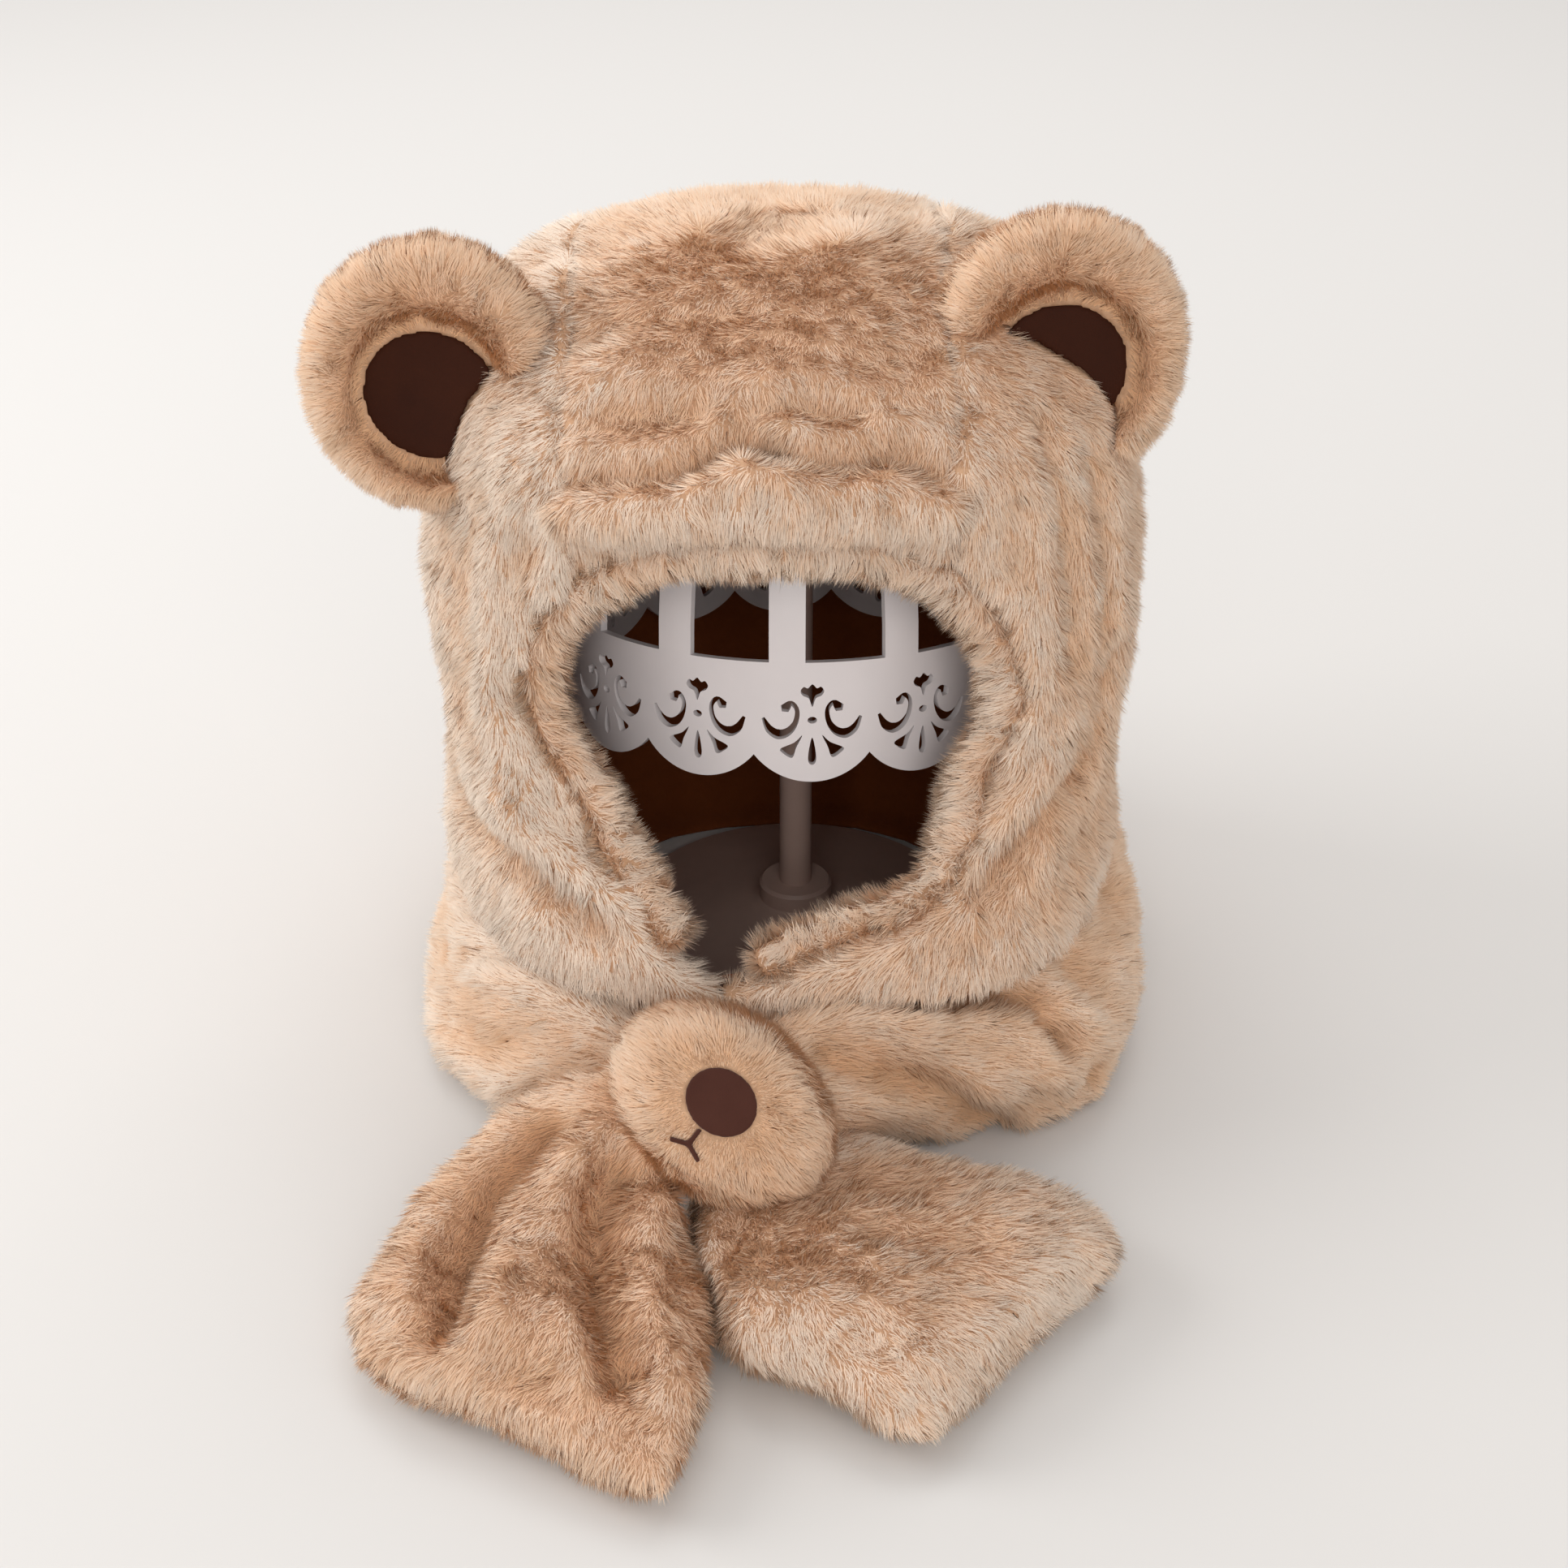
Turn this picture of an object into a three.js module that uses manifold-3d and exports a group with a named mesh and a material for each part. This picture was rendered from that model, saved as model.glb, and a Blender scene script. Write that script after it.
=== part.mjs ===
import * as THREE from "three";
import { mergeVertices } from "three/addons/utils/BufferGeometryUtils.js";
import Module from "manifold-3d";

// A plush bear hood with its scarf tied in front, standing on a pierced plastic hat stand.
// Millimetres, +Z up. The origin is the middle of the stand's base, where it meets the table.
// The face looks along -Y, and left and right are as seen from in front.

const wasm = await Module();
wasm.setup();

const clearance = 0.3;
const mergeDistance = 1e-4;

// Hood
const crownHeight = 242;
const necklineHeight = 54;
const hoodWidth = 213;
const hoodFront = 98;
const hoodBack = 99;
const hoodOffset = -4;
const hoodWall = 8;
const liningWall = 1.6;
const panelWidth = 106;
const panelOffset = -11;
const outerSteps = 40;
const innerSteps = 20;
const rimSteps = 36;

// Face opening
const openingWidth = 121;
const openingHeight = 111;
const openingLeft = -67.5;
const openingBottom = 69;
const openingCutStart = 58;
const edgeBandWidth = 11;
const slitWidth = 1.2;

// Ears
const earRadius = 36;
const earThickness = 25;
const earWide = 1.02;
const earTall = 1.06;
const earPatchWidth = 40;
const earPatchHeight = 37;
const earPatchWall = 1.5;
const earSteps = 20;

// Scarf
const neckHalfWidth = 101.5;
const neckHalfDepth = 100;
const scarfHeight = 54;
const scarfThickness = 17;
const tailLength = 112;
const tailWidth = 96;
const scarfSteps = 14;
const scarfEdgePower = 0.8;
const scarfFacePower = 0.75;
const scarfRipples = 1.3;
const tableGap = 0.6;

// Muzzle loop
const muzzleLength = 68;
const muzzleHeight = 51;
const muzzleThickness = 24;
const muzzleX = -21;
const muzzleY = -166;
const muzzleZ = 51;
const muzzlePitch = 42;
const muzzleRoll = 38;
const muzzleSteps = 20;
const strapWidth = 14;
const strapThickness = 4;
const noseLength = 21;
const noseHeight = 18;
const noseWall = 1.6;
const stitchWidth = 1.4;
const stitchLength = 4.5;
const stitchSpread = 1.4;

// Stand
const baseRadius = 58;
const baseRim = 3;
const baseRise = 10;
const collarRadius = 12;
const collarHeight = 17;
const socketDepth = 8;
const postRadius = 5.25;
const capRadius = 76;
const capWall = 2.2;
const capPlaneHeight = 128.5;
const capTilt = 8;
const scallopTurn = 3.3;
const ribTurn = -2.2;
const capBandHeight = 37;
const scallopDrop = 8;
const capSteps = 28;
const domeRows = 4;
const ribCount = 14;
const ribWidth = 10.5;
const hubRadius = 22;
const bossRadius = 9;
const bossLength = 16;

// Sections of the hood from the neckline (rise 0) to the crown (rise 1). side is a share of half the
// hood's width, front and back of its reach each way, and square the exponent of the rounded outline.
const hoodSections = [
  { rise: 0.0, side: 0.985, front: 1.32, back: 0.99, square: 2.3 },
  { rise: 0.06, side: 0.985, front: 1.31, back: 0.99, square: 2.3 },
  { rise: 0.14, side: 0.965, front: 1.24, back: 0.985, square: 2.3 },
  { rise: 0.24, side: 0.975, front: 1.15, back: 0.99, square: 2.35 },
  { rise: 0.34, side: 0.99, front: 1.06, back: 1.0, square: 2.4 },
  { rise: 0.44, side: 1.0, front: 1.0, back: 1.0, square: 2.5 },
  { rise: 0.54, side: 0.995, front: 0.99, back: 1.0, square: 2.5 },
  { rise: 0.65, side: 0.98, front: 0.99, back: 1.0, square: 2.5 },
  { rise: 0.76, side: 0.95, front: 0.97, back: 0.96, square: 2.45 },
  { rise: 0.84, side: 0.895, front: 0.91, back: 0.89, square: 2.4 },
  { rise: 0.9, side: 0.79, front: 0.79, back: 0.77, square: 2.35 },
  { rise: 0.945, side: 0.65, front: 0.62, back: 0.61, square: 2.3 },
  { rise: 0.977, side: 0.47, front: 0.45, back: 0.44, square: 2.2 },
  { rise: 0.995, side: 0.32, front: 0.33, back: 0.33, square: 2.1 },
  { rise: 1.0, side: 0.23, front: 0.24, back: 0.24, square: 2.0 },
];

// Folds and rolls of the hood: turn in degrees round from the face, lean in degrees per rise, and
// push, outwards, as a share of the hood's wall.
const hoodFolds = [
  { turn: -5, rise: 0.765, spread: 35, reach: 0.06, lean: 0, push: 1.25 },
  { turn: -5, rise: 0.855, spread: 34, reach: 0.028, lean: 0, push: -0.75 },
  { turn: -4, rise: 0.9, spread: 10, reach: 0.03, lean: 0, push: 0.3 },
  { turn: 39, rise: 0.4, spread: 8, reach: 0.3, lean: -12, push: 0.75 },
  { turn: -46, rise: 0.36, spread: 8, reach: 0.3, lean: 8, push: 0.75 },
  { turn: 53, rise: 0.52, spread: 6, reach: 0.3, lean: -10, push: -0.6 },
  { turn: 66, rise: 0.55, spread: 7, reach: 0.28, lean: -6, push: 0.45 },
  { turn: -61, rise: 0.45, spread: 7, reach: 0.28, lean: 6, push: -0.45 },
  { turn: -76, rise: 0.5, spread: 9, reach: 0.25, lean: 4, push: 0.35 },
  { turn: 36, rise: 0, spread: 20, reach: 0.1, lean: 0, push: 0.5 },
  { turn: -40, rise: 0, spread: 20, reach: 0.1, lean: 0, push: 0.5 },
  { turn: 148, rise: 0.5, spread: 9, reach: 0.3, lean: 0, push: -0.35 },
  { turn: -148, rise: 0.45, spread: 9, reach: 0.3, lean: 0, push: -0.35 },
];

// Heights at which the outer surface and the plainer inner surface are ruled.
const outerRises = [
  0, 0.06, 0.13, 0.21, 0.3, 0.4, 0.5, 0.59, 0.67, 0.72, 0.765, 0.81, 0.855, 0.905, 0.95, 0.98, 1,
];
const innerRises = [0, 0.15, 0.32, 0.5, 0.68, 0.8, 0.88, 0.94, 0.98, 1];

// The lining below the neckline: height as a share of the neckline's, reach as a share of the
// neckline's own outline. Its hem turns inwards over the table.
const liningSkirt = [
  { height: 0.015, reach: 0.68 },
  { height: 0.05, reach: 0.8 },
  { height: 0.3, reach: 0.85 },
  { height: 0.7, reach: 0.9 },
];

// Outline of the face opening: across is a share of its width from its left edge, up a share of its
// height from its lowest point, in order round from that point along the right cheek.
const openingOutline = [
  { across: 0.37, up: 0.0 },
  { across: 0.52, up: 0.07 },
  { across: 0.69, up: 0.13 },
  { across: 0.84, up: 0.16 },
  { across: 0.905, up: 0.28 },
  { across: 0.925, up: 0.42 },
  { across: 0.995, up: 0.54 },
  { across: 0.985, up: 0.69 },
  { across: 0.91, up: 0.83 },
  { across: 0.79, up: 0.94 },
  { across: 0.5, up: 1.0 },
  { across: 0.29, up: 0.965 },
  { across: 0.15, up: 0.89 },
  { across: 0.05, up: 0.77 },
  { across: 0.0, up: 0.62 },
  { across: 0.02, up: 0.5 },
  { across: 0.1, up: 0.39 },
  { across: 0.17, up: 0.27 },
  { across: 0.25, up: 0.14 },
];

// Ear: a dished pad with a thick rolled rim. out and drop are shares of the ear's radius, deep a share
// of its thickness, measured backwards from the front of the rim.
const earProfile = [
  { out: 0.0, deep: 0.34, drop: 0.13 },
  { out: 0.58, deep: 0.34, drop: 0.13 },
  { out: 0.66, deep: 0.1, drop: 0.1 },
  { out: 0.78, deep: 0.0, drop: 0.05 },
  { out: 0.91, deep: 0.08, drop: 0 },
  { out: 1.0, deep: 0.36, drop: 0 },
  { out: 0.97, deep: 0.64, drop: 0 },
  { out: 0.82, deep: 0.88, drop: 0 },
  { out: 0.5, deep: 0.98, drop: 0 },
  { out: 0.0, deep: 1.0, drop: 0 },
];

// Where each ear stands. across is a share of the hood's width from the middle, forward a share of
// its front reach and up a share of its height; yaw outwards and pitch upwards are in degrees.
const earPlaces = [
  { name: "ear_left", across: -0.493, forward: 0.53, up: 0.888, yaw: -10, pitch: 10 },
  { name: "ear_right", across: 0.352, forward: 0.53, up: 0.921, yaw: 10, pitch: 10 },
];

// Stretch of each scarf half round the neck, from the middle of the back to the knot. turn is in
// degrees round from the face, out a share of the neck's half width and half depth, up and high
// shares of the scarf's height, thick a share of its thickness.
const neckRight = [
  { turn: 180, out: 1.0, up: 0.5, high: 0.96, thick: 1.0, lean: 0, fold: 0.1 },
  { turn: 150, out: 1.0, up: 0.5, high: 0.97, thick: 1.0, lean: 0, fold: 0.1 },
  { turn: 120, out: 0.99, up: 0.5, high: 0.97, thick: 1.0, lean: 6, fold: 0.14 },
  { turn: 90, out: 0.985, up: 0.5, high: 0.98, thick: 1.0, lean: 12, fold: 0.16 },
  { turn: 66, out: 1.065, up: 0.5, high: 0.98, thick: 1.05, lean: 16, fold: 0.2 },
  { turn: 48, out: 1.22, up: 0.49, high: 1.0, thick: 1.1, lean: 20, fold: 0.22 },
  { turn: 35, out: 1.27, up: 0.49, high: 1.0, thick: 1.15, lean: 20, fold: 0.22 },
  { turn: 21, out: 1.2, up: 0.52, high: 1.0, thick: 1.15, lean: 12, fold: 0.26 },
  { turn: 10, out: 1.25, up: 0.58, high: 0.86, thick: 1.2, lean: 16, fold: 0.2 },
];
const neckLeft = [
  { turn: -180, out: 1.0, up: 0.5, high: 0.96, thick: 1.0, lean: 0, fold: 0.1 },
  { turn: -150, out: 1.0, up: 0.5, high: 0.97, thick: 1.0, lean: 0, fold: 0.1 },
  { turn: -120, out: 0.98, up: 0.5, high: 0.97, thick: 1.0, lean: 6, fold: 0.14 },
  { turn: -90, out: 0.975, up: 0.5, high: 0.98, thick: 1.0, lean: 12, fold: 0.16 },
  { turn: -66, out: 1.06, up: 0.5, high: 0.98, thick: 1.05, lean: 15, fold: 0.18 },
  { turn: -48, out: 1.21, up: 0.49, high: 1.0, thick: 1.1, lean: 18, fold: 0.18 },
  { turn: -34, out: 1.25, up: 0.48, high: 0.97, thick: 1.15, lean: 19, fold: 0.14 },
  { turn: -19, out: 1.21, up: 0.44, high: 0.82, thick: 1.1, lean: 24, fold: 0.08 },
];

// Stretch of each half through the knot and out to its tail's hem. x and y are shares of the tail's
// length from the knot, up a share of the scarf's thickness, high a share of the tail's width, lean
// the band's turn from upright (0) to flat (90), and swing the flat band's heading in the plan.
const tailThroughLoop = [
  { x: 0.23, y: 0.03, up: 2.06, high: 0.4, thick: 1.3, lean: 26, swing: 95, fold: 0.1 },
  { x: 0.0, y: 0.0, up: 1.88, high: 0.38, thick: 1.3, lean: 40, swing: 108, fold: 0.08 },
  { x: -0.14, y: -0.12, up: 1.53, high: 0.52, thick: 1.2, lean: 60, swing: 130, fold: 0.14 },
  { x: -0.21, y: -0.31, up: 1.08, high: 0.81, thick: 1.08, lean: 80, swing: 150, fold: 0.2 },
  { x: -0.29, y: -0.54, up: 0.9, high: 0.94, thick: 1.0, lean: 90, swing: 158, fold: 0.24 },
  { x: -0.345, y: -0.77, up: 0.84, high: 1.06, thick: 1.0, lean: 90, swing: 154, fold: 0.22 },
  { x: -0.375, y: -0.94, up: 0.74, high: 1.02, thick: 0.8, lean: 90, swing: 150, fold: 0.16 },
];
const tailBehindLoop = [
  { x: 0.14, y: 0.12, up: 0.85, high: 0.46, thick: 1.0, lean: 60, swing: 62, fold: 0.0 },
  { x: 0.23, y: -0.17, up: 0.75, high: 0.78, thick: 1.1, lean: 86, swing: 54, fold: 0.0 },
  { x: 0.39, y: -0.38, up: 0.82, high: 0.98, thick: 1.4, lean: 90, swing: 52, fold: 0.0 },
  { x: 0.61, y: -0.485, up: 0.92, high: 1.07, thick: 1.5, lean: 90, swing: 51, fold: 0.02 },
  { x: 0.78, y: -0.615, up: 0.82, high: 1.06, thick: 1.3, lean: 90, swing: 51, fold: 0.02 },
  { x: 0.84, y: -0.665, up: 0.7, high: 0.97, thick: 0.9, lean: 90, swing: 51, fold: 0.0 },
];
const knotX = -34;
const knotY = -143;

// Muzzle pad, as the ear's profile, with its front at deep 0.
const muzzleProfile = [
  { out: 0.0, deep: 0.0 },
  { out: 0.66, deep: 0.0 },
  { out: 0.83, deep: 0.12 },
  { out: 0.94, deep: 0.36 },
  { out: 1.0, deep: 0.58 },
  { out: 0.92, deep: 0.82 },
  { out: 0.66, deep: 0.97 },
  { out: 0.0, deep: 1.0 },
];

// Pierced motif of one scallop, in shares of the scallop's width across and the band's height up
// from the scallop's lowest point: petals are pointed ovals, scrolls are bent strips.
const petals = [
  { across: 0.0, up: 0.22, length: 0.26, width: 0.09, turn: 0 },
  { across: -0.12, up: 0.28, length: 0.26, width: 0.08, turn: 35 },
  { across: 0.12, up: 0.28, length: 0.26, width: 0.08, turn: -35 },
  { across: 0.0, up: 0.7, length: 0.22, width: 0.16, turn: 0 },
];
const scrollReach = 0.13;
const scrollWidth = 0.055;
const scrollAcross = 0.245;
const scrollUp = 0.5;
const scrollStart = -70;
const scrollSweep = 230;
const scrollSteps = 3;
const petalShoulder = 0.25;
const notchSteps = 3;

const plushColour = 0xc9a07a;
const liningColour = 0x2e140a;
const feltColour = 0x56302a;
const plasticColour = 0xf1eeee;
const plush = new THREE.MeshStandardMaterial({ color: plushColour, roughness: 0.95, metalness: 0 });
const brownCloth = new THREE.MeshStandardMaterial({ color: liningColour, roughness: 0.9, metalness: 0 });
const felt = new THREE.MeshStandardMaterial({ color: feltColour, roughness: 0.85, metalness: 0 });
const plastic = new THREE.MeshStandardMaterial({ color: plasticColour, roughness: 0.4, metalness: 0 });

const radians = THREE.MathUtils.degToRad;

// Closed solid of a geometry, with its faces turned outwards.
function solidOf(source) {
  const geometry = source.clone();
  geometry.deleteAttribute("normal");
  geometry.deleteAttribute("uv");
  const merged = mergeVertices(geometry, mergeDistance);
  const vertProperties = merged.attributes.position.array;
  const triVerts = new Uint32Array(merged.index.array);
  const solid = new wasm.Manifold(new wasm.Mesh({ numProp: 3, vertProperties, triVerts }));
  if (solid.volume() > 0) return solid;
  triVerts.reverse();
  return new wasm.Manifold(new wasm.Mesh({ numProp: 3, vertProperties, triVerts }));
}

function geometryOf(solid) {
  const mesh = solid.getMesh();
  const geometry = new THREE.BufferGeometry();
  geometry.setAttribute("position", new THREE.BufferAttribute(mesh.vertProperties, 3));
  geometry.setIndex(new THREE.BufferAttribute(mesh.triVerts, 1));
  geometry.computeVertexNormals();
  return geometry;
}

// The largest body of a solid, without the slivers that a cut leaves.
function mainBody(solid) {
  const bodies = solid.decompose();
  return bodies.reduce((best, body) => (body.volume() > best.volume() ? body : best));
}

// Closed solid through rings of points, each ring with the same number, capped at both ends.
function loft(rings) {
  const count = rings[0].length;
  const points = rings.flat();
  const faces = [];
  for (let row = 0; row < rings.length - 1; row += 1) {
    for (let step = 0; step < count; step += 1) {
      const here = row * count + step;
      const beside = row * count + ((step + 1) % count);
      faces.push(here, beside, beside + count);
      faces.push(here, beside + count, here + count);
    }
  }
  for (const [row, order] of [[0, -1], [rings.length - 1, 1]]) {
    const middle = points.length;
    points.push(rings[row].reduce((sum, p) => sum.add(p), new THREE.Vector3()).divideScalar(count));
    for (let step = 0; step < count; step += 1) {
      const here = row * count + step;
      const beside = row * count + ((step + 1) % count);
      faces.push(middle, order > 0 ? here : beside, order > 0 ? beside : here);
    }
  }
  const geometry = new THREE.BufferGeometry().setFromPoints(points);
  geometry.setIndex(faces);
  return solidOf(geometry);
}

// Every column of a table at one value of its key column, smoothed through the rows.
function rowAt(table, key, value) {
  const last = table.length - 1;
  let low = 0;
  while (low < last - 1 && table[low + 1][key] < value) low += 1;
  const [before, here, next, after] = [low - 1, low, low + 1, low + 2].map(
    (row) => table[THREE.MathUtils.clamp(row, 0, last)],
  );
  const span = next[key] - here[key];
  const share = THREE.MathUtils.clamp((value - here[key]) / span, 0, 1);
  const result = {};
  for (const column of Object.keys(here)) {
    if (typeof here[column] !== "number") continue;
    const slopeHere = ((next[column] - before[column]) / (next[key] - before[key])) * span;
    const slopeNext = ((after[column] - here[column]) / (after[key] - here[key])) * span;
    const rise = next[column] - here[column];
    const bend = slopeHere + slopeNext - 2 * rise;
    const lift = 3 * rise - 2 * slopeHere - slopeNext;
    result[column] = here[column] + share * (slopeHere + share * (lift + share * bend));
  }
  return result;
}

function signedPower(value, power) {
  return Math.sign(value) * Math.abs(value) ** power;
}

function foldPush(rise, turn) {
  return hoodFolds.reduce((sum, fold) => {
    const along = (rise - fold.rise) / fold.reach;
    const across = (turn - fold.turn - fold.lean * (rise - fold.rise)) / fold.spread;
    return sum + fold.push * hoodWall * Math.exp(-along * along - across * across);
  }, 0);
}

// A point of the hood's surface, inset from the outside, at a rise and a turn round from the face.
function hoodPoint(rise, turn, inset, folded) {
  const section = rowAt(hoodSections, "rise", rise);
  const power = 2 / section.square;
  const angle = radians(turn);
  const reach = Math.cos(angle) > 0 ? section.front * hoodFront : section.back * hoodBack;
  const push = folded ? foldPush(rise, turn) : 0;
  const across = (section.side * hoodWidth) / 2 - inset + push;
  const x = hoodOffset + across * signedPower(Math.sin(angle), power);
  const y = -(reach - inset + push) * signedPower(Math.cos(angle), power);
  const z = necklineHeight + rise * (crownHeight - inset - necklineHeight);
  return new THREE.Vector3(x, y, z);
}

function turns(steps) {
  return Array.from({ length: steps }, (_, step) => -180 + (360 * step) / steps);
}

function hoodRings(rises, inset, steps, folded) {
  return rises.map((rise) => turns(steps).map((turn) => hoodPoint(rise, turn, inset, folded)));
}

// Outer form of the hood, grown outwards by a margin, from a little below the neckline.
function hoodOutside(margin) {
  return loft(hoodRings(outerRises, -margin, outerSteps, true));
}

function hoodInside() {
  const rings = hoodRings(innerRises, hoodWall, innerSteps, false);
  const below = rings[0].map((p) => new THREE.Vector3(p.x, p.y, 0));
  return loft([below, ...rings]);
}

// Turn at which the hood's front lies at a given distance across, at a rise.
function turnAcross(rise, x) {
  const section = rowAt(hoodSections, "rise", rise);
  const share = THREE.MathUtils.clamp((2 * (x - hoodOffset)) / (section.side * hoodWidth), -1, 1);
  return THREE.MathUtils.radToDeg(Math.asin(signedPower(share, section.square / 2)));
}

// The opening's outline in the plane of x and z, each point with its direction outwards.
function openingRim() {
  const corners = openingOutline.map((row) => {
    const x = openingLeft + row.across * openingWidth;
    return new THREE.Vector3(x, 0, openingBottom + row.up * openingHeight);
  });
  const curve = new THREE.CatmullRomCurve3(corners, true, "centripetal");
  return Array.from({ length: rimSteps }, (_, step) => {
    const tangent = curve.getTangent(step / rimSteps);
    const outwards = new THREE.Vector3(tangent.z, 0, -tangent.x);
    return { point: curve.getPoint(step / rimSteps), outwards };
  });
}

// Prism along y through the front of the hood, with room for the padded edge.
function openingCutter() {
  const margin = edgeBandWidth + clearance;
  const outline = openingRim().map(({ point, outwards }) => point.addScaledVector(outwards, margin));
  const shape = new THREE.Shape(outline.map((point) => new THREE.Vector2(point.x, point.z)));
  const prism = new THREE.ExtrudeGeometry(shape, { depth: 2 * hoodFront, bevelEnabled: false, steps: 1 });
  prism.rotateX(Math.PI / 2);
  prism.translate(0, -openingCutStart, 0);
  return solidOf(prism);
}

function slitCutter() {
  const lowest = openingOutline[0];
  const height = openingBottom - necklineHeight + edgeBandWidth;
  const slit = new THREE.BoxGeometry(slitWidth, hoodFront, 2 * height);
  const across = openingLeft + lowest.across * openingWidth;
  slit.translate(across, -hoodFront - edgeBandWidth, openingBottom - height);
  return solidOf(slit);
}

// The crown panel's own stretch of the hood: over the head between its two seams, down the back,
// and in front down to the face opening.
function crownStretch(margin) {
  const browHeight = openingBottom + openingHeight / 2;
  const front = 2 * hoodFront;
  const profile = new THREE.Shape([
    new THREE.Vector2(-front, browHeight),
    new THREE.Vector2(0, browHeight),
    new THREE.Vector2(0, -crownHeight),
    new THREE.Vector2(front, -crownHeight),
    new THREE.Vector2(front, 2 * crownHeight),
    new THREE.Vector2(-front, 2 * crownHeight),
  ]);
  const width = panelWidth + 2 * margin;
  const prism = new THREE.ExtrudeGeometry(profile, { depth: width, bevelEnabled: false, steps: 1 });
  prism.rotateX(Math.PI / 2);
  prism.rotateZ(Math.PI / 2);
  prism.translate(panelOffset - width / 2, 0, 0);
  return solidOf(prism);
}

// Padded edge round the face opening, open where the cheeks meet.
function edgeBand() {
  const sides = 6;
  const halfThick = (hoodWall + liningWall) / 2;
  const rings = openingRim().slice(1).map(({ point, outwards }) => {
    const middle = point.addScaledVector(outwards, edgeBandWidth / 2);
    const rise = (middle.z - necklineHeight) / (crownHeight - necklineHeight);
    middle.y = hoodPoint(rise, turnAcross(rise, middle.x), halfThick, true).y;
    return Array.from({ length: sides }, (_, side) => {
      const angle = (2 * Math.PI * side) / sides;
      const corner = middle.clone().addScaledVector(outwards, (edgeBandWidth / 2) * Math.cos(angle));
      corner.y += halfThick * Math.sin(angle);
      return corner;
    });
  });
  return loft(rings);
}

// One face of the lining: the hood's inner form above the neckline and the skirt below it.
function liningRings(inset, lift) {
  const rings = hoodRings(innerRises, inset, innerSteps, false);
  const skirt = liningSkirt.map((row) =>
    rings[0].map((p) => {
      const x = hoodOffset + (p.x - hoodOffset) * row.reach;
      return new THREE.Vector3(x, p.y * row.reach, row.height * necklineHeight + lift);
    }),
  );
  return [...skirt, ...rings];
}

function hoodLining() {
  const outside = liningRings(hoodWall + clearance, 0);
  const inside = liningRings(hoodWall + clearance + liningWall, liningWall);
  const hemHole = inside[0].map((p) => new THREE.Vector3(p.x, p.y, -liningWall));
  return loft(outside).subtract(loft([hemHole, ...inside]));
}

// A pad made by turning a profile round its middle, facing along -Y, stretched to an oval.
function pad(profile, radius, thickness, wide, tall, steps) {
  const points = profile.map((row) => new THREE.Vector2(row.out * radius, row.deep * thickness));
  const turned = new THREE.LatheGeometry(points, steps);
  const position = turned.attributes.position;
  for (let index = 0; index < position.count; index += 1) {
    const row = profile[index % profile.length];
    position.setZ(index, tall * position.getZ(index) - (row.drop ?? 0) * radius);
    position.setX(index, wide * position.getX(index));
  }
  return turned;
}

function earMatrix(place) {
  const turn = new THREE.Euler(radians(-place.pitch), 0, radians(place.yaw), "ZXY");
  return new THREE.Matrix4()
    .makeRotationFromEuler(turn)
    .setPosition(place.across * hoodWidth, -place.forward * hoodFront, place.up * crownHeight);
}

// One end of the scarf as a band lofted through its stations.
function scarfBand(stations, margin) {
  const path = new THREE.CatmullRomCurve3(stations.map((s) => s.middle), false, "centripetal");
  const last = stations.length - 1;
  const numbered = stations.map((s, index) => ({ ...s, index }));
  const rings = [];
  for (let half = 0; half <= 2 * last; half += 1) {
    const index = half / 2;
    const row = rowAt(numbered, "index", index);
    const middle = path.getPoint(index / last);
    const tangent = path.getTangent(index / last);
    const lean = radians(row.lean);
    const swing = radians(row.swing);
    const across = new THREE.Vector3(
      Math.sin(lean) * Math.cos(swing),
      Math.sin(lean) * Math.sin(swing),
      Math.cos(lean),
    );
    const through = new THREE.Vector3().crossVectors(tangent, across).normalize();
    const end = half === 0 || half === 2 * last ? margin : 0;
    middle.addScaledVector(tangent, half === 0 ? -end : end);
    rings.push(
      Array.from({ length: scarfSteps }, (_, step) => {
        const angle = (2 * Math.PI * step) / scarfSteps;
        const wide = signedPower(Math.cos(angle), scarfEdgePower);
        const deep = signedPower(Math.sin(angle), scarfFacePower);
        const ripple = row.fold * scarfThickness * Math.cos(2 * Math.PI * scarfRipples * wide);
        const point = middle.clone();
        point.addScaledVector(across, (row.width / 2 + margin) * wide);
        point.addScaledVector(through, (row.thick / 2 + margin) * deep + ripple);
        point.z = Math.max(point.z, tableGap - margin);
        return point;
      }),
    );
  }
  return loft(rings);
}

function scarfStations(neckRows, tailRows) {
  const neck = neckRows.map((row) => {
    const angle = radians(row.turn);
    return {
      middle: new THREE.Vector3(
        hoodOffset + neckHalfWidth * row.out * Math.sin(angle),
        -neckHalfDepth * row.out * Math.cos(angle),
        row.up * scarfHeight,
      ),
      width: row.high * scarfHeight,
      thick: row.thick * scarfThickness,
      lean: row.lean,
      swing: 90 + row.turn,
      fold: row.fold,
    };
  });
  const tail = tailRows.map((row) => ({
    middle: new THREE.Vector3(
      knotX + row.x * tailLength,
      knotY + row.y * tailLength,
      row.up * scarfThickness,
    ),
    width: row.high * tailWidth,
    thick: row.thick * scarfThickness,
    lean: row.lean,
    swing: row.swing,
    fold: row.fold,
  }));
  return [...neck, ...tail];
}

// Slab across the knot that the muzzle's strap fills.
function strapSlab(margin) {
  const size = 2 * tailLength;
  const slab = new THREE.BoxGeometry(strapWidth + 2 * margin, size, size);
  slab.translate(muzzleX, knotY, 0);
  return solidOf(slab);
}

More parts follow.
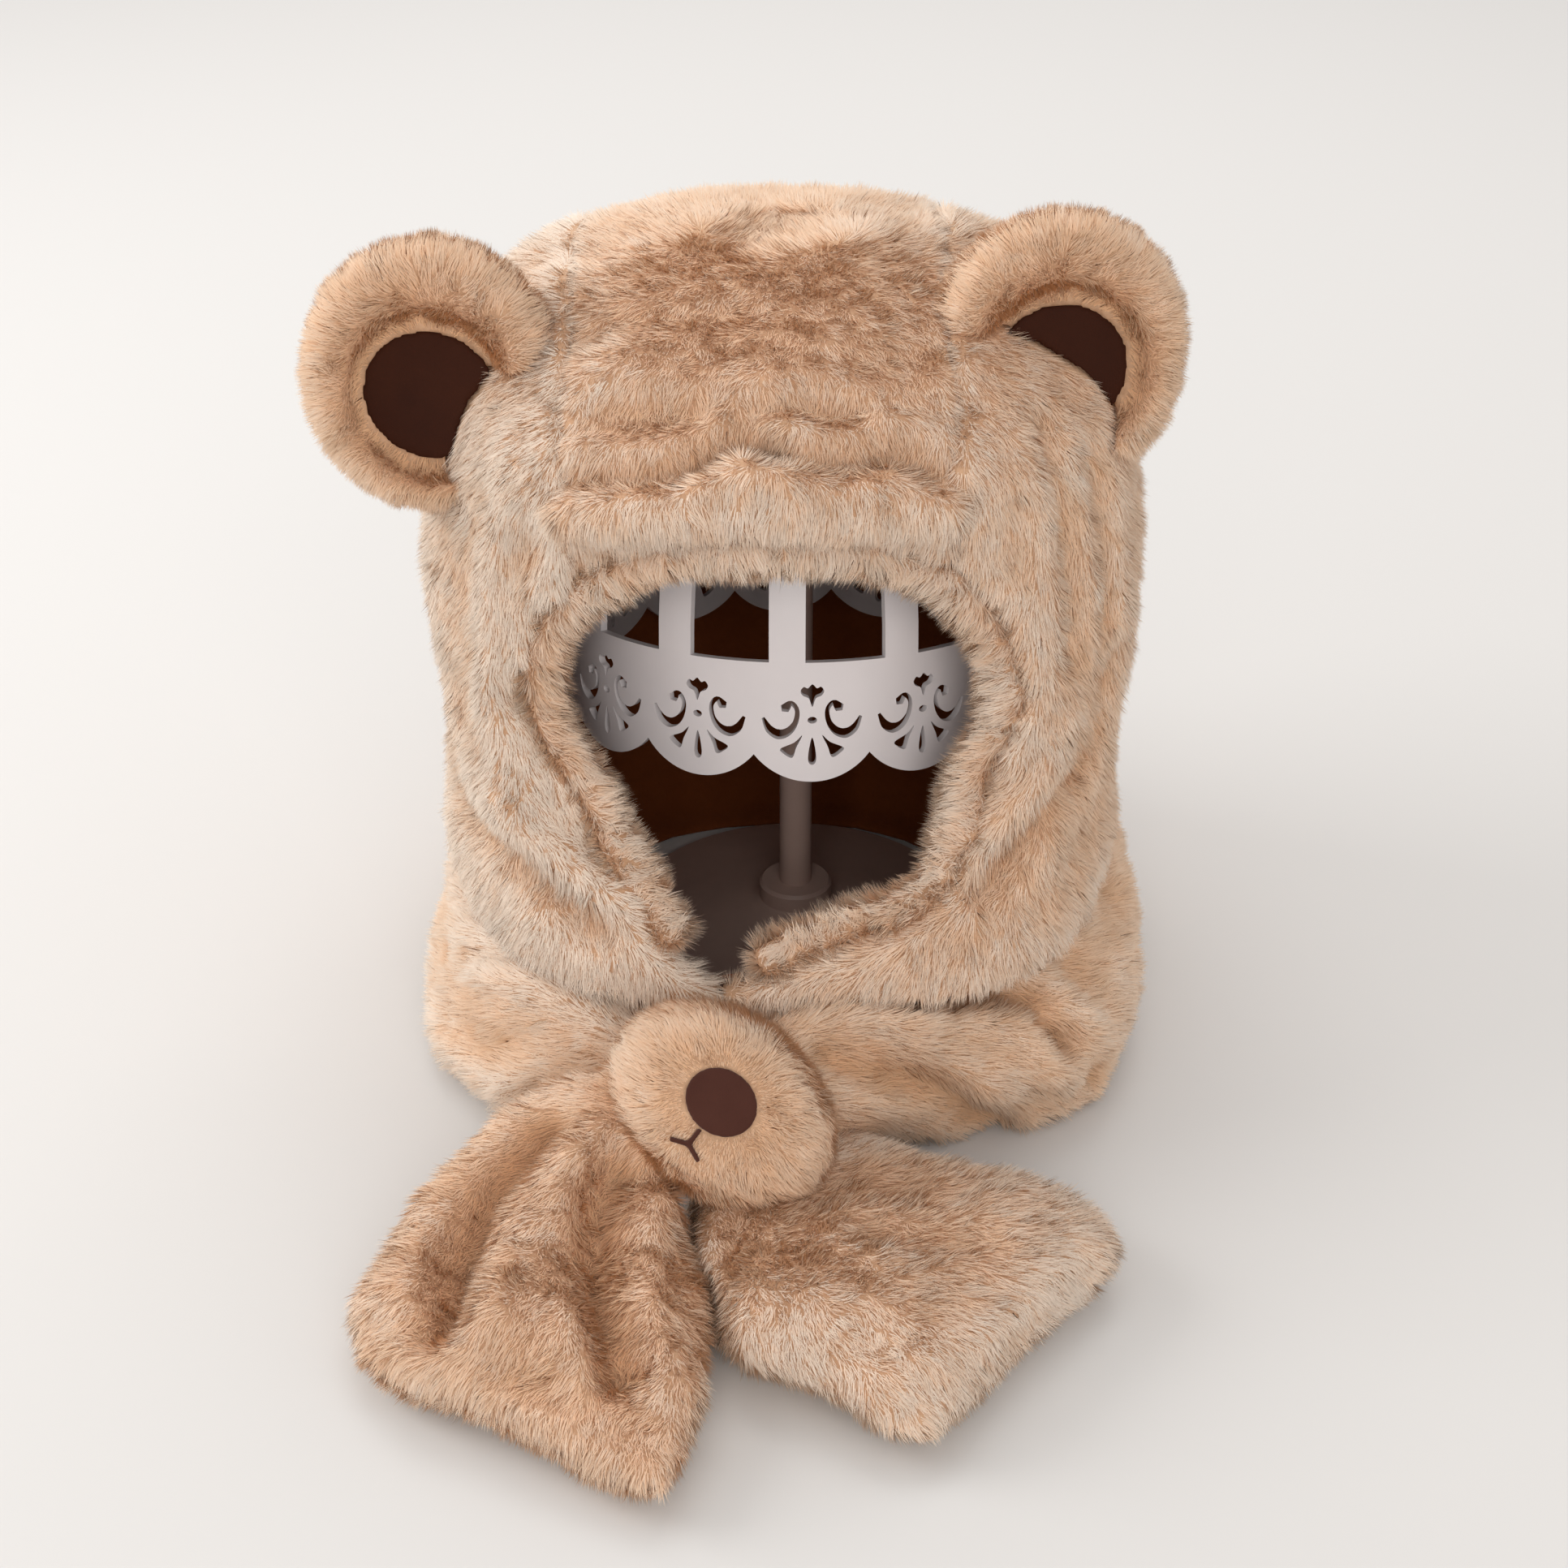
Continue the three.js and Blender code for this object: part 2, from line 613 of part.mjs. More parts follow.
// The mouth: a short stem under the nose that parts into two strokes, in the pad's own plane.
function mouthStitch() {
  const strokes = [
    { from: [0, 0], to: [0, -stitchLength] },
    { from: [0, -stitchLength], to: [-stitchLength, -stitchSpread * stitchLength] },
    { from: [0, -stitchLength], to: [stitchLength, -stitchSpread * stitchLength] },
  ];
  const solids = strokes.map(({ from, to }) => {
    const length = Math.hypot(to[0] - from[0], to[1] - from[1]) + stitchWidth;
    const stroke = new THREE.BoxGeometry(length, stitchWidth, stitchWidth);
    stroke.rotateY(-Math.atan2(to[1] - from[1], to[0] - from[0]));
    stroke.translate((from[0] + to[0]) / 2, 0, (from[1] + to[1]) / 2 - stitchWidth / 2);
    return solidOf(stroke);
  });
  return geometryOf(solids.reduce((sum, stroke) => sum.add(stroke)));
}

// A profile of [radius, height] corners turned round the z axis.
function turned(profile, steps) {
  const points = profile.map(([radius, height]) => new THREE.Vector2(radius, height));
  const shape = new THREE.LatheGeometry(points, steps);
  return shape.rotateX(Math.PI / 2);
}

function baseProfile() {
  const bore = postRadius + clearance;
  const floor = collarHeight - socketDepth;
  return [
    [0, 0],
    [baseRadius, 0],
    [baseRadius, baseRim],
    [collarRadius, baseRise],
    [collarRadius, collarHeight],
    [bore, collarHeight],
    [bore, floor],
    [0, floor],
  ];
}
const postFoot = collarHeight - socketDepth + clearance;

// The cap's dome is an ellipsoid whose highest point, once tilted, meets the lining's top.
const liningTop = crownHeight - hoodWall - clearance - liningWall;
const domeReach = liningTop - clearance - capPlaneHeight;
const domeSine = Math.sin(radians(capTilt));
const domeCosine = Math.cos(radians(capTilt));
const domeHeight = Math.sqrt(domeReach ** 2 - (capRadius * domeSine) ** 2) / domeCosine;
const postTop = capPlaneHeight + (domeHeight - capWall) * domeCosine - bossLength / 2;

function capPoint(radius, height, share) {
  const angle = (share * Math.PI) / 2;
  return [radius * Math.cos(angle), height * Math.sin(angle)];
}

// The cap before it is pierced: the band hangs below the rim's plane, the dome stands above it.
function capShell() {
  const side = (radius, height, foot) => {
    const dome = Array.from({ length: domeRows }, (_, row) => capPoint(radius, height, row / domeRows));
    const whole = turned([[0, foot], [radius, foot], ...dome, [0, height]], capSteps);
    return solidOf(whole.rotateZ(radians(scallopTurn)));
  };
  const outside = side(capRadius, domeHeight, -capBandHeight);
  return outside.subtract(side(capRadius - capWall, domeHeight - capWall, -2 * capBandHeight));
}

// Turns a flat outline (across, up) into a cutter through the band, facing the front.
function bandCutter(points, floor) {
  const depth = 3 * capWall;
  const shape = new THREE.Shape(points);
  const cutter = new THREE.ExtrudeGeometry(shape, { depth, bevelEnabled: false, steps: 1 });
  cutter.rotateX(Math.PI / 2);
  cutter.translate(0, depth / 2 - capRadius + capWall / 2, floor);
  return cutter;
}

// Opening between two ribs: a wedge seen from above, whose sides run along the ribs.
function ribGap() {
  const half = Math.PI / ribCount;
  const start = Math.max(ribWidth / 2 / Math.tan(half), hubRadius / Math.cos(half)) + clearance;
  const corner = (along, side) =>
    new THREE.Vector2(
      along * Math.cos(half) + (ribWidth / 2) * Math.sin(half),
      side * (along * Math.sin(half) - (ribWidth / 2) * Math.cos(half)),
    );
  const reach = 2 * capRadius;
  const corners = [corner(start, -1), corner(reach, -1), corner(reach, 1), corner(start, 1)];
  const depth = 2 * domeHeight;
  const outline = new THREE.Shape(corners);
  const wedge = new THREE.ExtrudeGeometry(outline, { depth, bevelEnabled: false, steps: 1 });
  return wedge.rotateZ(half - Math.PI / 2);
}

const scallopWidth = (2 * Math.PI * capRadius) / ribCount;

// What is cut away under the band where two scallops meet.
function scallopNotch() {
  const half = scallopWidth / 2;
  const round = (half ** 2 + scallopDrop ** 2) / (2 * scallopDrop);
  const height = (across) => round - Math.sqrt(round ** 2 - across ** 2);
  const points = [];
  for (let step = -notchSteps; step <= notchSteps; step += 1) {
    const across = (step / notchSteps) * half;
    points.push(new THREE.Vector2(across, height(half - Math.abs(across))));
  }
  points.push(new THREE.Vector2(half, -scallopDrop), new THREE.Vector2(-half, -scallopDrop));
  return bandCutter(points, -capBandHeight).rotateZ(Math.PI / ribCount);
}

function petalHole(petal) {
  const long = (petal.length * capBandHeight) / 2;
  const wide = (petal.width * scallopWidth) / 2;
  const shoulder = petalShoulder * long;
  const outline = [[0, long], [-wide, shoulder], [0, -long], [wide, shoulder]];
  const middle = new THREE.Vector2();
  const place = new THREE.Vector2(petal.across * scallopWidth, petal.up * capBandHeight);
  return outline.map(([across, up]) =>
    new THREE.Vector2(across, up).rotateAround(middle, radians(petal.turn)).add(place),
  );
}

function scrollHole(side) {
  const edge = (radius) =>
    Array.from({ length: scrollSteps + 1 }, (_, step) => {
      const angle = radians(scrollStart + (scrollSweep * step) / scrollSteps);
      return new THREE.Vector2(
        side * (scrollAcross * scallopWidth + radius * Math.cos(angle)),
        scrollUp * capBandHeight + radius * Math.sin(angle),
      );
    });
  const outer = edge(scrollReach * scallopWidth);
  const inner = edge((scrollReach - scrollWidth) * scallopWidth).reverse();
  return [...outer, ...inner];
}

// The cap in place: ribs, pierced scallops and the boss that takes the post, tilted on its rim.
function standCap() {
  const holes = [...petals.map(petalHole), scrollHole(1), scrollHole(-1)].map((outline) =>
    bandCutter(outline, -capBandHeight),
  );
  const pierced = [scallopNotch(), ...holes].map((cutter) => cutter.rotateZ(radians(scallopTurn)));
  const cutters = [ribGap().rotateZ(radians(ribTurn)), ...pierced];
  const turnStep = (2 * Math.PI) / ribCount;
  let cap = capShell();
  for (let rib = 0; rib < ribCount; rib += 1) {
    for (const cutter of cutters) {
      cap = cap.subtract(solidOf(cutter.clone().rotateZ(rib * turnStep)));
    }
  }
  const placed = geometryOf(cap).rotateX(-radians(capTilt));
  placed.translate(0, 0, capPlaneHeight);
  const boss = new THREE.CylinderGeometry(bossRadius, bossRadius, bossLength, innerSteps);
  boss.rotateX(Math.PI / 2).translate(0, 0, postTop);
  const reach = postTop + clearance;
  const bore = postRadius + clearance;
  const postRoom = new THREE.CylinderGeometry(bore, bore, reach, innerSteps);
  postRoom.rotateX(Math.PI / 2).translate(0, 0, reach / 2);
  return solidOf(placed).add(solidOf(boss)).subtract(solidOf(postRoom));
}

const group = new THREE.Group();
const hood = new THREE.Group();
const scarf = new THREE.Group();
const stand = new THREE.Group();
group.add(hood, scarf, stand);

function addPiece(parent, name, geometry, material) {
  const mesh = new THREE.Mesh(geometry, material);
  mesh.name = name;
  parent.add(mesh);
  return mesh;
}

// Muzzle frame, shared by the pad, the nose and the mouth
const muzzle = new THREE.Group();
muzzle.position.set(muzzleX, muzzleY, muzzleZ);
muzzle.rotation.set(radians(-muzzlePitch), radians(muzzleRoll), 0, "XYZ");
muzzle.updateMatrixWorld(true);
scarf.add(muzzle);

// Scarf halves: the right one runs through the muzzle's strap, the left one behind it
const rightStations = scarfStations(neckRight, tailThroughLoop);
const leftStations = scarfStations(neckLeft, tailBehindLoop);
const scarfRight = scarfBand(rightStations, 0);
const scarfRightRoom = scarfBand(rightStations, clearance);
const strapOutside = scarfBand(rightStations, clearance + strapThickness);
const strap = strapOutside.subtract(scarfRightRoom).intersect(strapSlab(0));
const strapRoom = scarfBand(rightStations, 2 * clearance + strapThickness).intersect(strapSlab(clearance));
const scarfLeftWhole = scarfBand(leftStations, 0).subtract(scarfRightRoom).subtract(strapRoom);
const scarfRoom = scarfRightRoom.add(scarfBand(leftStations, clearance));
addPiece(scarf, "scarf_right", geometryOf(scarfRight), plush);
addPiece(scarf, "scarf_left", geometryOf(mainBody(scarfLeftWhole)), plush);

// Hood panels, edge band and lining
const hoodRoom = hoodOutside(clearance);
const shell = hoodOutside(0)
  .subtract(hoodInside())
  .subtract(openingCutter())
  .subtract(slitCutter())
  .subtract(scarfRoom);
const crownPanel = mainBody(shell.intersect(crownStretch(0)));
const sidePanels = shell
  .subtract(crownStretch(clearance))
  .decompose()
  .sort((a, b) => b.volume() - a.volume())
  .slice(0, 2)
  .sort((a, b) => a.boundingBox().min[0] - b.boundingBox().min[0]);
addPiece(hood, "crown_panel", geometryOf(crownPanel), plush);
addPiece(hood, "side_panel_left", geometryOf(sidePanels[0]), plush);
addPiece(hood, "side_panel_right", geometryOf(sidePanels[1]), plush);
addPiece(hood, "face_edge_band", geometryOf(mainBody(edgeBand().subtract(scarfRoom))), plush);
const lining = mainBody(hoodLining().subtract(openingCutter()).subtract(scarfRoom));
addPiece(hood, "hood_lining", geometryOf(lining), brownCloth);

// Ears, seated on the hood, each with its brown patch
for (const place of earPlaces) {
  const matrix = earMatrix(place);
  const ear = pad(earProfile, earRadius, earThickness, earWide, earTall, earSteps);
  ear.applyMatrix4(matrix);
  addPiece(hood, place.name, geometryOf(mainBody(solidOf(ear).subtract(hoodRoom))), plush);
  const patch = new THREE.CylinderGeometry(0.5, 0.5, earPatchWall, earSteps);
  patch.scale(earPatchWidth, 1, earPatchHeight);
  const dish = earProfile[0];
  patch.translate(0, dish.deep * earThickness - earPatchWall / 2 - clearance, -dish.drop * earRadius);
  patch.applyMatrix4(matrix);
  const seated = mainBody(solidOf(patch).subtract(hoodRoom));
  addPiece(hood, `${place.name}_patch`, geometryOf(seated), brownCloth);
}

// Muzzle loop: the pad in front joined to the strap round the right half of the scarf
const muzzleRatio = muzzleLength / muzzleHeight;
const muzzlePad = pad(muzzleProfile, muzzleHeight / 2, muzzleThickness, muzzleRatio, 1, muzzleSteps);
muzzlePad.applyMatrix4(muzzle.matrixWorld);
const muzzleLoop = solidOf(muzzlePad).subtract(scarfRoom).add(strap).subtract(hoodRoom);
addPiece(scarf, "muzzle_loop", geometryOf(mainBody(muzzleLoop)), plush);

const noseDisc = new THREE.CylinderGeometry(0.5, 0.5, noseWall, muzzleSteps);
noseDisc.scale(noseLength, 1, noseHeight);
const nose = addPiece(muzzle, "nose", noseDisc, felt);
nose.position.set(0, -noseWall / 2 - clearance, 0);
const mouth = addPiece(muzzle, "mouth_stitch", mouthStitch(), felt);
mouth.position.set(0, -stitchWidth / 2 - clearance, -noseHeight / 2 - clearance);

// Stand
addPiece(stand, "stand_base", turned(baseProfile(), innerSteps), plastic);
const postHeight = postTop - postFoot;
const postShape = new THREE.CylinderGeometry(postRadius, postRadius, postHeight, innerSteps);
const post = addPiece(stand, "stand_post", postShape.rotateX(Math.PI / 2), plastic);
post.position.set(0, 0, postFoot + postHeight / 2);
addPiece(stand, "stand_cap", geometryOf(mainBody(standCap())), plastic);

export default group;
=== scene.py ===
"""Looks of a plush animal hood with its scarf, on a pierced plastic hat stand.

The frame gives every piece its size and place. This file gives each soft piece a skin with its folds
and a pile of fibres, each cloth and felt piece its finish, and the stand its pierced cap.
"""

import logging
import math
from collections.abc import Sequence
from dataclasses import dataclass, field, replace
from enum import Enum

import bmesh
import bpy
import numpy as np
from mathutils import Matrix, Vector
from mathutils.bvhtree import BVHTree
from mathutils.kdtree import KDTree


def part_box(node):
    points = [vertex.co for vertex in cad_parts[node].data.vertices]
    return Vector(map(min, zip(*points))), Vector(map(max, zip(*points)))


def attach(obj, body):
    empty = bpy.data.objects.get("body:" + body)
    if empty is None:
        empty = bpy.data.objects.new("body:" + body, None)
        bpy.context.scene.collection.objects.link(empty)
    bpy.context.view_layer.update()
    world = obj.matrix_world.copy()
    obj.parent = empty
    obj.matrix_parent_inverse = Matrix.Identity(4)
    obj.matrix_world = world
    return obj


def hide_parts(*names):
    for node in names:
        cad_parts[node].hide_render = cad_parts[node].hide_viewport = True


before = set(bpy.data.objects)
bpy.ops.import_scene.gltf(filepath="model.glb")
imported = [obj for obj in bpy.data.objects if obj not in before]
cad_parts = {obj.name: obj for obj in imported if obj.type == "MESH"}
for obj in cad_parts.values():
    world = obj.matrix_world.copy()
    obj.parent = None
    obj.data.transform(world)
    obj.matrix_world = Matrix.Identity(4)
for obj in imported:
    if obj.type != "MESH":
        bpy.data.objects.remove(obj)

LOG = logging.getLogger("hood_scarf")
MM = 0.001
BODY = "root"
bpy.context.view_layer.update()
PHOTO_WIDTH = 1932
FLOOR_GAP = 0.3 * MM
FACE_MIDDLE = (-5 * MM, -115 * MM, 125 * MM)
TRIM_REACH = 6 * MM
TRIM_LEAST = 0.35
OPENING_REACH = 80 * MM
OPENING_EXTRA = 0.3
LEAST_LIFT = 0.3
ROOT_DEPTH = 0.4 * MM

Route = tuple[tuple[float, float], ...]
Outline = tuple[tuple[float, float], ...]
Colour = tuple[float, float, float]


class Slot(Enum):
    """The record's material slots."""

    PLUSH = "plush"
    LINING = "lining_cloth"
    FELT = "felt"
    PLASTIC = "stand_plastic"


class Comb(Enum):
    """Which way a piece's pile is brushed."""

    DOWN = "down"
    INTO_OPENING = "into_opening"
    FROM_MIDDLE = "from_middle"
    ALONG_TAIL = "along_tail"


def unit(vectors: np.ndarray) -> np.ndarray:
    """Rows of an array made one long."""
    return vectors / np.maximum(np.linalg.norm(vectors, axis=-1, keepdims=True), 1e-12)


def triangles_of(mesh: bpy.types.Mesh) -> tuple[np.ndarray, np.ndarray]:
    """A mesh's points and its triangles.

    Args:
        mesh: any mesh.

    Returns:
        The points (n, 3) and the corners of the triangles (m, 3).
    """
    mesh.calc_loop_triangles()
    points = np.zeros(len(mesh.vertices) * 3, np.float32)
    mesh.vertices.foreach_get("co", points)
    corners = np.zeros(len(mesh.loop_triangles) * 3, np.int32)
    mesh.loop_triangles.foreach_get("vertices", corners)
    return points.reshape(-1, 3).astype(float), corners.reshape(-1, 3)


def normals_of(mesh: bpy.types.Mesh) -> np.ndarray:
    """The smooth normal at each of a mesh's points."""
    normals = np.zeros(len(mesh.vertices) * 3, np.float32)
    mesh.vertices.foreach_get("normal", normals)
    return normals.reshape(-1, 3).astype(float)


def triangle_object(name: str, points: np.ndarray, corners: np.ndarray) -> bpy.types.Object:
    """A new object from arrays of points and triangles.

    Args:
        name: the object's name.
        points: its points, in metres.
        corners: its triangles, as indices of points.

    Returns:
        The object, smooth shaded and in the scene.
    """
    mesh = bpy.data.meshes.new(name)
    mesh.vertices.add(len(points))
    mesh.vertices.foreach_set("co", points.astype(np.float32).ravel())
    mesh.loops.add(len(corners) * 3)
    mesh.loops.foreach_set("vertex_index", corners.astype(np.int32).ravel())
    mesh.polygons.add(len(corners))
    mesh.polygons.foreach_set("loop_start", np.arange(0, len(corners) * 3, 3, dtype=np.int32))
    mesh.update(calc_edges=True)
    mesh.shade_smooth()
    made = bpy.data.objects.new(name, mesh)
    bpy.context.scene.collection.objects.link(made)
    return made


def mesh_object(name: str, build: bmesh.types.BMesh, crease: float = math.radians(32)) -> bpy.types.Object:
    """A new object from a built mesh, smooth but for its sharp edges.

    Args:
        name: the object's name.
        build: the mesh, which is used up.
        crease: the angle from which an edge stays sharp.

    Returns:
        The object, in the scene.
    """
    mesh = bpy.data.meshes.new(name)
    build.to_mesh(mesh)
    build.free()
    mesh.shade_smooth()
    mesh.set_sharp_from_angle(angle=crease)
    made = bpy.data.objects.new(name, mesh)
    bpy.context.scene.collection.objects.link(made)
    return made


def point_tree(points: np.ndarray) -> KDTree:
    """A tree that finds the nearest of the points."""
    tree = KDTree(len(points))
    for index, point in enumerate(points):
        tree.insert(point, index)
    tree.balance()
    return tree


def settle(piece: bpy.types.Object) -> None:
    """Applies all of a piece's modifiers to its mesh."""
    graph = bpy.context.evaluated_depsgraph_get()
    graph.update()
    mesh = bpy.data.meshes.new_from_object(piece.evaluated_get(graph))
    piece.modifiers.clear()
    piece.data = mesh


def copy_node(node: str, name: str) -> bpy.types.Object:
    """A loose copy of a CAD node to be shaped, with its doubled points merged.

    Args:
        node: the CAD node.
        name: the new object's name.

    Returns:
        The copy, without materials.
    """
    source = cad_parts[node].data
    build = bmesh.new()
    build.from_mesh(source)
    bmesh.ops.remove_doubles(build, verts=build.verts, dist=0.01 * MM)
    bmesh.ops.recalc_face_normals(build, faces=build.faces)
    mesh = bpy.data.meshes.new(name)
    build.to_mesh(mesh)
    build.free()
    made = bpy.data.objects.new(name, mesh)
    bpy.context.scene.collection.objects.link(made)
    return made


def soften(piece: bpy.types.Object, voxel: float, rounds: int) -> None:
    """Remeshes a piece evenly and rounds its edges.

    Args:
        piece: the object.
        voxel: the new mesh's spacing, in metres.
        rounds: how often it is smoothed.
    """
    remesh = piece.modifiers.new("even", "REMESH")
    remesh.mode = "VOXEL"
    remesh.voxel_size = voxel
    smooth = piece.modifiers.new("round", "SMOOTH")
    smooth.factor = 0.5
    smooth.iterations = rounds
    settle(piece)
    piece.data.shade_smooth()


def waves(points: np.ndarray, length: float, seed: int, count: int = 7) -> np.ndarray:
    """Smooth random vectors that change over the given length.

    Args:
        points: where they are wanted.
        length: the distance over which they change, in metres.
        seed: which field.
        count: how many waves are added.

    Returns:
        One vector a point, each part about from -1 to 1.
    """
    draw = np.random.default_rng(seed)
    total = np.zeros((len(points), 3))
    for _ in range(count):
        heading = unit(draw.normal(size=(1, 3)))[0] * draw.uniform(0.6, 1.7)
        phase = draw.uniform(0, 2 * math.pi, 3)
        along = points @ heading * (2 * math.pi / length)
        total += np.sin(along[:, None] + phase)
    return total * math.sqrt(2 / count) / 1.4


def relief_of(mesh: bpy.types.Mesh, rounds: int) -> np.ndarray:
    """How far each point of a mesh stands proud of the surface round it.

    Args:
        mesh: an evenly spaced mesh.
        rounds: how often each point is averaged with its neighbours.

    Returns:
        The height of each point over the averaged surface, above 0 on a crest and below in a fold.
    """
    points, _ = triangles_of(mesh)
    ends = np.zeros(len(mesh.edges) * 2, np.int32)
    mesh.edges.foreach_get("vertices", ends)
    first, second = ends.reshape(-1, 2).T
    count = np.bincount(ends, minlength=len(points)).astype(float)
    level = points.copy()
    for _ in range(rounds):
        total = np.stack(
            [
                np.bincount(first, level[second, axis], len(points))
                + np.bincount(second, level[first, axis], len(points))
                for axis in range(3)
            ],
            axis=1,
        )
        level = 0.5 * level + 0.5 * total / count[:, None]
    return np.sum((points - level) * normals_of(mesh), axis=1)


@dataclass(frozen=True)
class PhotoView:
    """The place the photograph was taken from."""

    target: tuple[float, float, float] = (-3.8 * MM, 0.0, 53.4 * MM)
    distance: float = 0.9
    elevation: float = math.radians(31)
    focal: float = 63.4
    sensor: float = 36.0

    def place(self) -> Vector:
        """Where the camera stands."""
        back = Vector((0.0, -math.cos(self.elevation), math.sin(self.elevation)))
        return Vector(self.target) + back * self.distance

    def ray(self, across: float, down: float) -> Vector:
        """Direction in which a pixel of the photograph lies, as seen from the camera."""
        forward = Vector((0.0, math.cos(self.elevation), -math.sin(self.elevation)))
        upward = Vector((0.0, math.sin(self.elevation), math.cos(self.elevation)))
        scale = self.sensor / self.focal / PHOTO_WIDTH
        right = (across - PHOTO_WIDTH / 2) * scale
        up = (PHOTO_WIDTH / 2 - down) * scale
        return (forward + Vector((right, 0.0, 0.0)) + upward * up).normalized()


VIEW = PhotoView()


@dataclass(frozen=True)
class Crease:
    """A fold in a soft surface, along a route of photograph pixels.

    A negative depth raises a ridge instead. The shoulder is how far the cloth rises beside it, as a
    share of the depth.
    """

    route: Route
    depth: float
    width: float
    shoulder: float = 0.35

    def line_on(self, tree: BVHTree) -> np.ndarray:
        """The route laid on a surface.

        Args:
            tree: the surface.

        Returns:
            Its points on the surface, about 4 mm apart.
        """
        eye = VIEW.place()
        found = []
        for start, end in zip(self.route, self.route[1:]):
            steps = max(2, int(math.dist(start, end) / 15))
            for step in range(steps + 1):
                share = step / steps
                across = start[0] + share * (end[0] - start[0])
                down = start[1] + share * (end[1] - start[1])
                hit = tree.ray_cast(eye, VIEW.ray(across, down))[0]
                if hit is not None:
                    found.append(hit)
        return np.array([list(point) for point in found]).reshape(-1, 3)

    def press(self, points: np.ndarray, normals: np.ndarray, tree: BVHTree) -> np.ndarray:
        """How far the crease moves each point.

        Args:
            points: the surface's points.
            normals: their normals.
            tree: the surface before any crease.

        Returns:
            The move of each point, as a distance along its normal.
        """
        line = self.line_on(tree)
        if len(line) == 0:
            return np.zeros(len(points))
        away = np.full(len(points), 1.0)
        for knot in line:
            away = np.minimum(away, np.linalg.norm(points - knot, axis=1))
        valley = np.exp(-((away / self.width) ** 2))
        beside = np.exp(-(((away - 2 * self.width) / self.width) ** 2))
        return self.depth * (self.shoulder * beside - valley)


@dataclass(frozen=True)
class Pile:
    """The fibres on one soft piece.

    Density is in fibres a square millimetre. Paleness shifts the whole piece's tone: painted light on a
    lit piece, painted shade on a shaded one. Crest is painted light and shade: how much paler the crests
    are painted than the folds. Fibres close to the trimming nodes are cut short.
    """

    length: float = 5.2 * MM
    width: float = 0.36 * MM
    lean: float = 1.0
    ruffle: float = 0.13
    density: float = 2.85
    comb: Comb = Comb.DOWN
    clump: float = 4.0 * MM
    gather: float = 0.2
    # painted light and shade: the whole piece painted paler where it is lit, darker where it is shaded
    piece_tone_and_light: float = 0.0
    # painted light and shade: crests painted paler, folds painted darker
    crest: float = 0.5
    limit: int = 185000
    trimmed_by: tuple[str, ...] = ()


